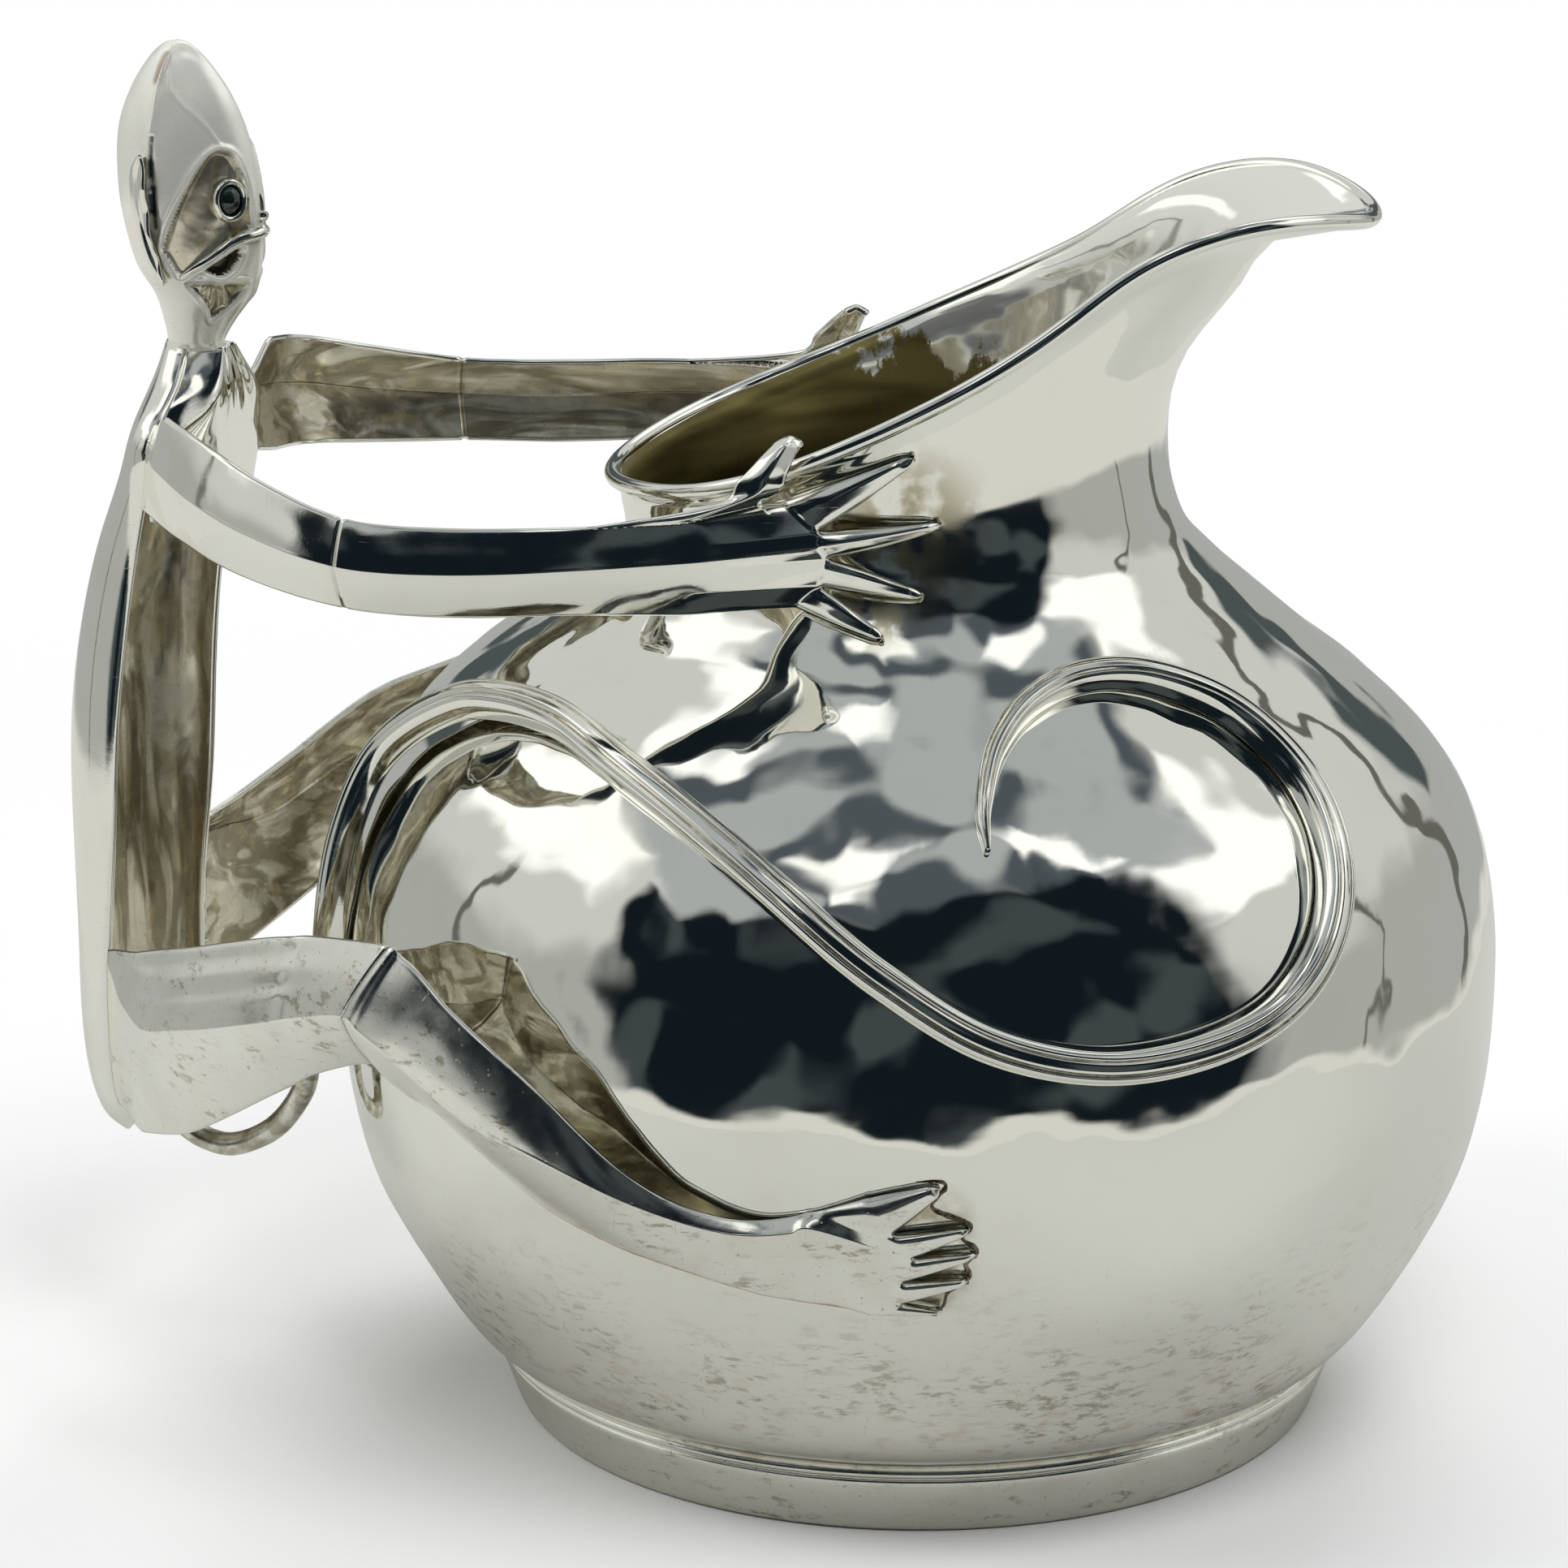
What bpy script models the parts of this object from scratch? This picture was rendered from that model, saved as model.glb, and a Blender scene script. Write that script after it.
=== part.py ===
"""Silver water pitcher whose handle is a monkey.

Every number in this file is in millimetres, and MM turns it into Blender's metres.
The jug stands on Z = 0 and is modelled about its own axis, with its spout along +X.
The monkey stands behind it, at -X, and lays its tail over the -Y side of the belly.
Its own right is the -Y side ("right") and its left is the +Y side ("left").
Last, the whole pitcher moves so that the origin lies under the middle of its outline.
"""
import math

import bmesh
import bpy
import numpy as np

MM = 0.001

# Sheet, wire and solder gaps
WALL = 1.5
SHEET = 1.2
THIN_SHEET = 0.8
GAP = 0.4
RIM_WIRE_RADIUS = 1.1
TAIL_WIRE_RADIUS = 1.7

# Jug: foot, belly, throat and mouth
FOOT_HEIGHT = 10.6
FOOT_BASE_RADIUS = 58.2
FOOT_TOP_RADIUS = 62.0
FOOT_FLANGE_RADIUS = 52.5
FOOT_RING_WALL = 2.2
FOOT_STEP_HEIGHT = 2.5
FOOT_STEP_RADIUS = 59.4
FOOT_FLANGE_THICKNESS = 1.4
BOWL_OUTLINE = [(18.0, 5.5), (40.0, 5.8), (53.0, 7.2), (59.0, 11.0)]
BELLY_OUTLINE = [
    (62.5, 11.1), (71.1, 22.0), (79.2, 38.0), (82.5, 56.0), (82.2, 74.0), (77.0, 92.0), (62.9, 108.0),
]
LEAN_START = 80.0
SHOULDER_LEAN = -1.4
SHOULDER_SLOPE = (-0.78, 0.62)
THROAT_X = -3.3
THROAT_RADIUS = 38.2
THROAT_WIDTH_SHARE = 0.96
THROAT_HEIGHT = 134.0
THROAT_TILT = 6.0
# centre of the rim wire: angle from the spout about the throat's axis, radius, height; mirrored in Y
MOUTH = [
    (0, 66.1, 174.4), (12, 62.3, 176.0), (24, 54.5, 176.4), (34, 46.6, 173.0), (46, 40.7, 166.2),
    (60, 39.0, 160.3), (90, 38.4, 150.2), (120, 39.6, 141.9), (150, 39.2, 137.7), (180, 39.9, 135.9),
]

# Monkey: its body is turned towards the tail's side
MONKEY_YAW = math.radians(-14.0)

# mesh fineness
JUG_SEGMENTS = 56
BELLY_ROWS = 12
SHOULDER_ROWS = 5
FLARE_ROWS = 5
RIM_SEGMENTS = 72
WIRE_SIDES = 8
CURVE_SAMPLES = 200
SHARP_ANGLE = math.radians(50)


# ---- curves --------------------------------------------------------------------------
def smooth(rows, count):
    """Sample a Catmull-Rom curve through rows of numbers at count even steps."""
    rows = np.array(rows, dtype=float)
    padded = np.vstack([2 * rows[0] - rows[1], rows, 2 * rows[-1] - rows[-2]])
    samples = []
    for u in np.linspace(0, len(rows) - 1, count):
        i = min(int(u), len(rows) - 2)
        t = u - i
        before, start, end, after = padded[i:i + 4]
        slope = end - before
        bend = 2 * before - 5 * start + 4 * end - after
        twist = 3 * start - before - 3 * end + after
        samples.append(0.5 * (2 * start + slope * t + bend * t ** 2 + twist * t ** 3))
    return np.array(samples)


def unit(vector):
    return vector / np.linalg.norm(vector)


def bisect(function, low, high):
    """Root of a function that is negative at low and positive at high."""
    for _ in range(40):
        middle = (low + high) / 2
        if function(middle) < 0:
            low = middle
        else:
            high = middle
    return (low + high) / 2


# ---- the jug's outside ---------------------------------------------------------------
def mirrored_mouth():
    start = [(-MOUTH[1][0],) + MOUTH[1][1:]]
    end = [(360 - MOUTH[-2][0],) + MOUTH[-2][1:]]
    return smooth(start + MOUTH + end, CURVE_SAMPLES)


MOUTH_CURVE = mirrored_mouth()
BELLY_CURVE = smooth(BELLY_OUTLINE, CURVE_SAMPLES)


def mouth_point(angle):
    """Centre of the rim wire at an angle about the throat's axis."""
    turn = abs((angle + 180) % 360 - 180)
    radius = np.interp(turn, MOUTH_CURVE[:, 0], MOUTH_CURVE[:, 1])
    height = np.interp(turn, MOUTH_CURVE[:, 0], MOUTH_CURVE[:, 2])
    a = math.radians(angle)
    return np.array([THROAT_X + radius * math.cos(a), radius * math.sin(a), height])


def belly_point(angle, height):
    """Round section whose centre moves back towards the throat's axis near the shoulder."""
    radius = np.interp(height, BELLY_CURVE[:, 1], BELLY_CURVE[:, 0])
    top = BELLY_OUTLINE[-1][1]
    lean = SHOULDER_LEAN * max(0.0, (height - LEAN_START) / (top - LEAN_START)) ** 1.5
    a = math.radians(angle)
    return np.array([lean + radius * math.cos(a), radius * math.sin(a), height])


def throat_point(angle):
    a = math.radians(angle)
    height = THROAT_HEIGHT + THROAT_TILT * math.cos(a)
    width = THROAT_WIDTH_SHARE * THROAT_RADIUS
    return np.array([THROAT_X + THROAT_RADIUS * math.cos(a), width * math.sin(a), height])


def shoulder_point(angle, t):
    """Point between the belly (t = 0) and the throat (t = 1), tangent to both."""
    start = belly_point(angle, BELLY_OUTLINE[-1][1])
    end = throat_point(angle)
    length = np.linalg.norm(end - start)
    a = math.radians(angle)
    out = np.array([math.cos(a), math.sin(a), 0])
    leave = length * (SHOULDER_SLOPE[0] * out + np.array([0, 0, SHOULDER_SLOPE[1]]))
    arrive = length * np.array([0, 0, 1.0])
    position = (2 * t ** 3 - 3 * t ** 2 + 1) * start + (3 * t ** 2 - 2 * t ** 3) * end
    return position + (t ** 3 - 2 * t ** 2 + t) * leave + (t ** 3 - t ** 2) * arrive


def flare_point(angle, turn):
    """Point on the quarter ellipse from the throat (turn = 0) to the rim wire (turn = 90)."""
    start = throat_point(angle)
    reach = mouth_point(angle) - start
    a = math.radians(turn)
    return start + reach * np.array([1 - math.cos(a), 1 - math.cos(a), math.sin(a)])


def lip_turn(angle):
    """Turn at which the wall stops, short of the rim wire."""
    wire = mouth_point(angle)
    stop = RIM_WIRE_RADIUS + GAP
    return bisect(lambda turn: stop - np.linalg.norm(flare_point(angle, turn) - wire), 0, 90)


def jug_point(angle, height):
    """Outside of the jug at an angle and a height."""
    shoulder_height = BELLY_OUTLINE[-1][1]
    if height <= shoulder_height:
        return belly_point(angle, height)
    throat = throat_point(angle)
    if height <= throat[2]:
        return shoulder_point(angle, bisect(lambda t: shoulder_point(angle, t)[2] - height, 0, 1))
    share = min(1.0, (height - throat[2]) / (mouth_point(angle)[2] - throat[2]))
    return flare_point(angle, math.degrees(math.asin(share)))


def on_jug(angle, height, stand_off):
    """Point that stands off the outside of the jug along its normal."""
    step = 0.5
    here = jug_point(angle, height)
    across = jug_point(angle + step, height) - jug_point(angle - step, height)
    upward = jug_point(angle, height + step) - jug_point(angle, height - step)
    return here + stand_off * unit(np.cross(across, upward))


# ---- meshes --------------------------------------------------------------------------
def add_object(name, points, faces, material, thickness=0.0):
    """Mesh object from points in millimetres, thickened inwards when it is a sheet."""
    mesh = bpy.data.meshes.new(name)
    mesh.from_pydata([tuple(MM * c for c in point) for point in points], [], faces)
    shape = bmesh.new()
    shape.from_mesh(mesh)
    bmesh.ops.remove_doubles(shape, verts=shape.verts, dist=0.00001)
    if not thickness:
        bmesh.ops.recalc_face_normals(shape, faces=shape.faces)
    shape.to_mesh(mesh)
    shape.free()
    mesh.shade_smooth()
    mesh.set_sharp_from_angle(angle=SHARP_ANGLE)
    mesh.materials.append(material)
    body = bpy.data.objects.new(name, mesh)
    bpy.context.collection.objects.link(body)
    if thickness:
        solid = body.modifiers.new("sheet", "SOLIDIFY")
        solid.thickness = thickness * MM
        solid.offset = -1
        solid.use_even_offset = True
    return body


def grid_faces(rows, columns, wrap_columns=False, wrap_rows=False):
    """Quads of a grid of points stored row by row."""
    faces = []
    for i in range(rows if wrap_rows else rows - 1):
        for j in range(columns if wrap_columns else columns - 1):
            a, b = i * columns + j, i * columns + (j + 1) % columns
            below = (i + 1) % rows * columns
            faces.append((a, b, below + (j + 1) % columns, below + j))
    return faces


def flatten(rows):
    return [point for row in rows for point in row]


def flipped(faces):
    return [tuple(reversed(face)) for face in faces]


def add_sheet(name, rows, material, thickness=SHEET, flip=False):
    """Open sheet from rows of points on its outside."""
    faces = grid_faces(len(rows), len(rows[0]))
    return add_object(name, flatten(rows), flipped(faces) if flip else faces, material, thickness)


def add_solid(name, rings, material):
    """Closed solid lofted through rings, with flat ends."""
    faces = grid_faces(len(rings), len(rings[0]), wrap_columns=True)
    faces.append(tuple(reversed(range(len(rings[0])))))
    last = (len(rings) - 1) * len(rings[0])
    faces.append(tuple(range(last, last + len(rings[0]))))
    return add_object(name, flatten(rings), faces, material)


def sweep_circle(path, radius, closed=False):
    """Rings of a round wire along a path."""
    path = np.array(path)
    rings = []
    for i, centre in enumerate(path):
        ahead = path[(i + 1) % len(path)] if closed else path[min(i + 1, len(path) - 1)]
        behind = path[i - 1] if closed else path[max(i - 1, 0)]
        along = unit(ahead - behind)
        side = unit(np.cross(along, (0, 0, 1)))
        upward = np.cross(side, along)
        ring = []
        for k in range(WIRE_SIDES):
            a = 2 * math.pi * k / WIRE_SIDES
            ring.append(centre + radius * (math.cos(a) * side + math.sin(a) * upward))
        rings.append(ring)
    return rings


# ---- materials -----------------------------------------------------------------------
def metal(name, colour, roughness, metallic=1.0):
    material = bpy.data.materials.new(name)
    material.use_nodes = True
    shader = material.node_tree.nodes["Principled BSDF"]
    shader.inputs["Base Color"].default_value = (*colour, 1)
    shader.inputs["Roughness"].default_value = roughness
    shader.inputs["Metallic"].default_value = metallic
    return material


# ---- the jug -------------------------------------------------------------------------
def add_vessel(material):
    angles = [360 * j / JUG_SEGMENTS for j in range(JUG_SEGMENTS)]
    rows = []
    for radius, height in BOWL_OUTLINE:
        rows.append([(radius * math.cos(math.radians(a)), radius * math.sin(math.radians(a)), height)
                     for a in angles])
    for _, height in smooth(BELLY_OUTLINE, BELLY_ROWS):
        rows.append([belly_point(a, height) for a in angles])
    for i in range(1, SHOULDER_ROWS + 1):
        rows.append([shoulder_point(a, i / SHOULDER_ROWS) for a in angles])
    for i in range(1, FLARE_ROWS + 1):
        rows.append([flare_point(a, lip_turn(a) * i / FLARE_ROWS) for a in angles])
    faces = grid_faces(len(rows), JUG_SEGMENTS, wrap_columns=True)
    centre = len(rows) * JUG_SEGMENTS
    for j in range(JUG_SEGMENTS):
        faces.append((centre, (j + 1) % JUG_SEGMENTS, j))
    points = flatten(rows) + [(0, 0, BOWL_OUTLINE[0][1])]
    add_object("vessel_shell", points, faces, material, WALL)


def add_rim(material):
    path = [mouth_point(360 * j / RIM_SEGMENTS) for j in range(RIM_SEGMENTS)]
    rings = sweep_circle(path, RIM_WIRE_RADIUS, closed=True)
    faces = grid_faces(len(rings), WIRE_SIDES, wrap_columns=True, wrap_rows=True)
    add_object("rim_wire", flatten(rings), faces, material)


def add_foot_ring(material):
    inner_top = FOOT_TOP_RADIUS - FOOT_RING_WALL
    inner_base = FOOT_BASE_RADIUS - FOOT_RING_WALL
    outline = [
        (FOOT_FLANGE_RADIUS, 0), (FOOT_BASE_RADIUS, 0), (FOOT_STEP_RADIUS, FOOT_STEP_HEIGHT),
        (FOOT_TOP_RADIUS, FOOT_HEIGHT), (inner_top, FOOT_HEIGHT), (inner_base, FOOT_STEP_HEIGHT),
        (FOOT_FLANGE_RADIUS, FOOT_FLANGE_THICKNESS),
    ]
    rows = []
    for j in range(JUG_SEGMENTS):
        a = 2 * math.pi * j / JUG_SEGMENTS
        rows.append([(radius * math.cos(a), radius * math.sin(a), height) for radius, height in outline])
    faces = grid_faces(JUG_SEGMENTS, len(outline), wrap_columns=True, wrap_rows=True)
    add_object("foot_ring", flatten(rows), flipped(faces), material)


# ---- the monkey's torso and head -----------------------------------------------------
def monkey_point(x, forward, sideways, height):
    """Point in the monkey's own turned frame, whose middle line passes through x."""
    c, s = math.cos(MONKEY_YAW), math.sin(MONKEY_YAW)
    return np.array([x + forward * c - sideways * s, forward * s + sideways * c, height])


# height, x of the side edges, half width, depth of the back
TORSO_ROWS = [
    (33, -110.5, 8, 5), (39, -111.8, 12.5, 7.5), (50, -112.3, 15.3, 8.7), (64, -112.1, 15.6, 9.2),
    (82, -110.7, 16.2, 11.2), (99, -109.7, 16.2, 12.0), (115, -108.0, 15.5, 11.2),
    (125, -106.3, 15.5, 10.0), (136, -103.6, 17.0, 8.2), (143, -102.5, 16.0, 7.0),
    (148, -102.3, 9.5, 6.0), (150.9, -103.0, 4.0, 4.0),
]
TORSO_COLUMNS = 13
# height, x of the middle, half depth
HEAD_ROWS = [
    (151.6, -103.1, 3.9), (155.5, -102.4, 5.2), (159.5, -101.6, 7.2), (164, -102.3, 9.2),
    (170, -103.0, 10.4), (176, -103.5, 10.5), (182.6, -104.0, 9.6), (188, -104.2, 7.5),
    (192.5, -104.4, 4.7),
]
HEAD_TOP = (-104.5, 195.4)
HEAD_WIDTH_SHARE = 0.9
HEAD_SHEET = 1.0
HEAD_COLUMNS = 18


def head_point(height, turn, stand_off=0.0):
    """Outside of the head at a height, turn degrees from the face towards its left."""
    middle = np.interp(height, [row[0] for row in HEAD_ROWS], [row[1] for row in HEAD_ROWS])
    half = np.interp(height, [row[0] for row in HEAD_ROWS], [row[2] for row in HEAD_ROWS]) + stand_off
    a = math.radians(turn)
    return monkey_point(middle, half * math.cos(a), HEAD_WIDTH_SHARE * half * math.sin(a), height)


def add_torso(material):
    """Back and sides of the trunk, open towards the jug."""
    rows = []
    for height, middle, half_width, depth in smooth(TORSO_ROWS, 17):
        row = []
        for j in range(TORSO_COLUMNS):
            a = math.radians(90 - 180 * j / (TORSO_COLUMNS - 1))
            row.append(monkey_point(middle, -depth * math.cos(a), half_width * math.sin(a), height))
        rows.append(row)
    add_sheet("torso_shell", rows, material)


# height, x, half width
CHEST_ROWS = [(131.5, -100.8, 14.5), (140, -99.6, 13.5), (149.6, -99.8, 3.5)]
CHEST_BULGE = 1.8
CHEST_COLUMNS = 7


def add_chest_plate(material):
    """Plate across the front of the shoulders, above the open hollow of the torso."""
    rows = []
    for height, middle, half_width in smooth(CHEST_ROWS, 6):
        row = []
        for j in range(CHEST_COLUMNS):
            share = 1 - 2 * j / (CHEST_COLUMNS - 1)
            row.append(monkey_point(middle, CHEST_BULGE * (1 - share ** 2), half_width * share, height))
        rows.append(row)
    add_sheet("chest_plate", rows, material, THIN_SHEET, flip=True)


def add_head(material):
    rows = []
    for height, middle, half in smooth(HEAD_ROWS, 14):
        row = []
        for j in range(HEAD_COLUMNS):
            a = 2 * math.pi * j / HEAD_COLUMNS
            sideways = HEAD_WIDTH_SHARE * half * math.sin(a)
            row.append(monkey_point(middle, half * math.cos(a), sideways, height))
        rows.append(row)
    faces = grid_faces(len(rows), HEAD_COLUMNS, wrap_columns=True)
    last = (len(rows) - 1) * HEAD_COLUMNS
    top = last + HEAD_COLUMNS
    for j in range(HEAD_COLUMNS):
        faces.append((top, last + j, last + (j + 1) % HEAD_COLUMNS))
    points = flatten(rows) + [(HEAD_TOP[0], 0, HEAD_TOP[1])]
    add_object("head_shell", points, faces, material, HEAD_SHEET)


# height of the ear, its turn from the face, half its width in degrees of turn
EAR_ROWS = [(162, 98, 5.2), (166.5, 98, 11.5), (171, 98, 14), (175.5, 98, 11.5), (180, 98, 5.2)]
EAR_STAND_OFF = 1.4
EAR_CUP = 0.5


def add_ear(name, side, material):
    """Small leaf of sheet laid back along the side of the head."""
    rows = []
    for height, middle_turn, half_width in smooth(EAR_ROWS, 7):
        row = []
        for j in range(5):
            turn = side * (middle_turn + half_width * (1 - j / 2))
            row.append(head_point(height, turn, EAR_STAND_OFF + EAR_CUP * math.sin(math.pi * j / 4)))
        rows.append(row)
    add_sheet(name, rows, material, THIN_SHEET, flip=side < 0)


def disc_frame(height, turn, stand_off):
    """Centre, outward, sideways and upward directions of a disc seated on the head."""
    centre = head_point(height, turn, stand_off)
    beside = head_point(height, turn + 4, stand_off)
    above = head_point(height + 1, turn, stand_off)
    side = unit(beside - centre)
    outward = unit(np.cross(side, above - centre))
    return centre, outward, side, np.cross(outward, side)


# height of the eye and its turn from the face
RIGHT_EYE = (174.2, 46)
LEFT_EYE = (175.0, 51)
EYE_TALLNESS = 1.2
EYE_SIDES = 16
EYE_STAND_OFF = 0.6
# radius and lift off the head
BEZEL_OUTLINE = [(2.4, 0), (2.5, 0.9), (2.15, 1.3), (1.85, 0.9), (1.85, 0)]
STONE_OUTLINE = [(1.5, 0), (1.5, 0.8), (1.1, 1.35), (0.4, 1.6)]


def eye_ring(frame, radius, lift):
    centre, outward, side, upward = frame
    ring = []
    for k in range(EYE_SIDES):
        a = 2 * math.pi * k / EYE_SIDES
        flat = radius * (math.cos(a) * side + EYE_TALLNESS * math.sin(a) * upward)
        ring.append(centre + flat + lift * outward)
    return ring


def add_eye(side, suffix, place, silver, stone):
    """Bezel ring around a black cabochon."""
    height, turn = place
    frame = disc_frame(height, side * turn, EYE_STAND_OFF)
    rings = [eye_ring(frame, radius, lift) for radius, lift in BEZEL_OUTLINE]
    faces = grid_faces(len(rings), EYE_SIDES, wrap_columns=True, wrap_rows=True)
    add_object("eye_bezel_" + suffix, flatten(rings), faces, silver)
    dome = [eye_ring(frame, radius, lift) for radius, lift in STONE_OUTLINE]
    add_solid("eye_stone_" + suffix, dome, stone)


NOSE_HEIGHT = 171.0
NOSE_STAND_OFF = 0.5
# height from the nose's middle, half width, lift off the head
NOSE_ROWS = [(-2.0, 0.6, 0.4), (-1.3, 2.0, 1.0), (-0.4, 2.2, 1.2), (0.8, 1.1, 0.9), (2.2, 0.4, 0.4)]
# share of the half width and of the lift, so that two nostrils stand up
NOSE_SECTION = [(-1, 0), (-0.6, 0.9), (0, 0.7), (0.6, 0.9), (1, 0)]


def add_nose(material):
    """Low bridge with two nostril beads, seated on the front of the head."""
    centre, outward, side, upward = disc_frame(NOSE_HEIGHT, 0, NOSE_STAND_OFF)
    rings = []
    for height, half_width, lift in NOSE_ROWS:
        ring = []
        for across, rise in NOSE_SECTION:
            ring.append(centre + across * half_width * side + rise * lift * outward + height * upward)
        rings.append(ring)
    add_solid("nose", rings, material)


# turn from the face, height, half thickness
MUZZLE_ROWS = [
    (-52, 162.6, 0.38), (-39, 163.5, 0.51), (-26, 164.1, 0.61), (-13, 164.5, 0.68), (0, 164.6, 0.7),
    (13, 164.5, 0.68), (26, 164.1, 0.61), (39, 163.5, 0.51), (52, 162.6, 0.38),
]
MUZZLE_STAND_OFF = 1.15
MUZZLE_SIDES = 6


def add_muzzle(material):
    """Folded lip piece under the nose, twice as tall as it is thick."""
    rings = []
    for turn, height, thick in MUZZLE_ROWS:
        ring = []
        for m in range(MUZZLE_SIDES):
            a = 2 * math.pi * m / MUZZLE_SIDES
            stand_off = MUZZLE_STAND_OFF + thick * math.cos(a)
            ring.append(head_point(height + 2 * thick * math.sin(a), turn, stand_off))
        rings.append(ring)
    add_solid("muzzle", rings, material)


# ---- arms and hands ------------------------------------------------------------------
# x, distance from the middle plane, height of the top edge, height of the bottom edge, bulge
UPPER_ARM = [(-95, 32, 145.5, 129.4, 4), (-85, 40, 142.2, 128, 4.5), (-72.4, 46.6, 139.2, 127, 4.2)]
FOREARM = [
    (-71.8, 46.8, 139.1, 127, 4.2), (-58, 48.3, 138.9, 126.8, 4), (-42, 48.3, 139.5, 127.6, 4),
    (-27, 45.5, 140, 127.3, 3),
]
RIGHT_SHOULDER = (-106.2, 16.75, 147.0, 131.0, 1.5)
LEFT_SHOULDER = (-98.4, 16.9, 148.0, 131.5, 2.5)
HAND_COLUMNS = 9
# stand-off of the outside of a sheet that lies on the jug, facets included
SKIN = SHEET + GAP + 0.2

# angle and height around the throat: the palm's edge at the finger roots, then the tips
FINGER_ROOTS = [(-106, 142), (-98.8, 138.2), (-96.6, 133.6), (-97.8, 128.9), (-103, 126)]
FINGER_TIPS = [(-80.5, 147.8), (-75.1, 138.2), (-79.2, 128.4), (-87.1, 123.2)]
THUMB = [
    [(-20.8, 42.2, 143.6), (-17.8, 42.8, 144.2), (-14.4, 42.0, 145.0)],
    [(-17.6, 42.6, 148.2), (-15.4, 43.0, 148.6), (-12.8, 42.2, 148.8)],
    [(-15.6, 40.4, 150.6), (-14.0, 40.6, 151.0), (-12.4, 40.2, 150.8)],
    [(-14.8, 37.4, 150.0), (-13.5, 37.4, 150.4), (-12.2, 37.4, 150.0)],
]

SECTION_HALF_ANGLE = math.radians(72)
SECTION_SWELL = 1.4
# share of the way to a finger's or toe's tip, share of the root's width
DIGIT_ROWS = [(0.45, 0.85), (0.8, 0.55), (1.0, 0.22)]
FINGER_CREASE = 1.2
TOE_CREASE = 1.0
KNUCKLE_CREST = 1.0
KNUCKLE_VALLEY = 0.3


def limb_sections(stations, side, count, columns):
    """C-shaped sections of a limb that is open towards the middle plane."""
    path = smooth(stations, count)
    rows = []
    for i, (x, reach, top, bottom, bulge) in enumerate(path):
        ahead, behind = path[min(i + 1, count - 1)], path[max(i - 1, 0)]
        along = unit(np.array([ahead[0] - behind[0], ahead[1] - behind[1]]))
        out = np.array([-along[1], along[0]])
        row = []
        for j in range(columns):
            a = SECTION_HALF_ANGLE * (1 - 2 * j / (columns - 1))
            swell = SECTION_SWELL * bulge * (math.cos(a) - math.cos(SECTION_HALF_ANGLE))
            height = (top + bottom) / 2 + (top - bottom) / 2 * math.sin(a) / math.sin(SECTION_HALF_ANGLE)
            row.append(np.array([x + swell * out[0], side * (reach + swell * out[1]), height]))
        rows.append(row)
    return rows


def between(ends, count):
    """Even steps through a list of (angle, height) corners, count steps to each side."""
    steps = []
    for (a0, h0), (a1, h1) in zip(ends, ends[1:]):
        for k in range(count):
            share = k / count
            steps.append((a0 + share * (a1 - a0), h0 + share * (h1 - h0)))
    return steps + [ends[-1]]


def add_digits(points, faces, roots, root_start, tips, side, lift):
    """Grow one pointed strip from each pair of columns of the last row of a palm or a foot."""
    for f, (tip_angle, tip_height) in enumerate(tips):
        (a0, h0), (a1, h1) = roots[f], roots[f + 1]
        previous = [root_start + 2 * f + k for k in range(3)]
        for share, width in DIGIT_ROWS:
            angle = (a0 + a1) / 2 + share * (tip_angle - (a0 + a1) / 2)
            height = (h0 + h1) / 2 + share * (tip_height - (h0 + h1) / 2)
            row = []
            for k, across in enumerate([0.5, 0, -0.5]):
                crest = lift * (1 - 0.5 * share) if k == 1 else 0
                beside = across * width
                spot = on_jug(angle + beside * (a0 - a1), height + beside * (h0 - h1), SKIN + crest)
                row.append(len(points))
                points.append(spot * np.array([1, -side, 1]))
            for k in range(2):
                faces.append((previous[k], previous[k + 1], row[k + 1], row[k]))
            previous = row


def add_hand(name, side, material):
    """Forearm, palm, four fingers on the neck and a thumb hooked over the rim."""
    rows = limb_sections(FOREARM, side, 8, HAND_COLUMNS)
    wrist = rows[-1]
    knuckles = []
    for k, (angle, height) in enumerate(between(FINGER_ROOTS, 2)):
        spot = on_jug(angle, height, SKIN + (KNUCKLE_CREST if k % 2 else KNUCKLE_VALLEY))
        knuckles.append(spot * np.array([1, -side, 1]))
    for share in (0.34, 0.67):
        rows.append([wrist[j] + share * (knuckles[j] - wrist[j]) for j in range(HAND_COLUMNS)])
    rows.append(knuckles)
    points = flatten(rows)
    faces = grid_faces(len(rows), HAND_COLUMNS)
    root_start = len(points) - HAND_COLUMNS
    add_digits(points, faces, FINGER_ROOTS, root_start, FINGER_TIPS, side, FINGER_CREASE)
    previous = [root_start - 3 * HAND_COLUMNS, root_start - 2 * HAND_COLUMNS, root_start - HAND_COLUMNS]
    for thumb_row in THUMB:
        row = []
        for x, reach, height in thumb_row:
            row.append(len(points))
            points.append(np.array([x, side * reach, height]))
        for k in range(2):
            faces.append((previous[k], previous[k + 1], row[k + 1], row[k]))
        previous = row
    add_object(name, points, flipped(faces) if side > 0 else faces, material, SHEET)


def add_arm(name, side, shoulder, material):
    rows = limb_sections([shoulder] + UPPER_ARM, side, 8, HAND_COLUMNS)
    add_sheet(name, rows, material, flip=side > 0)


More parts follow.
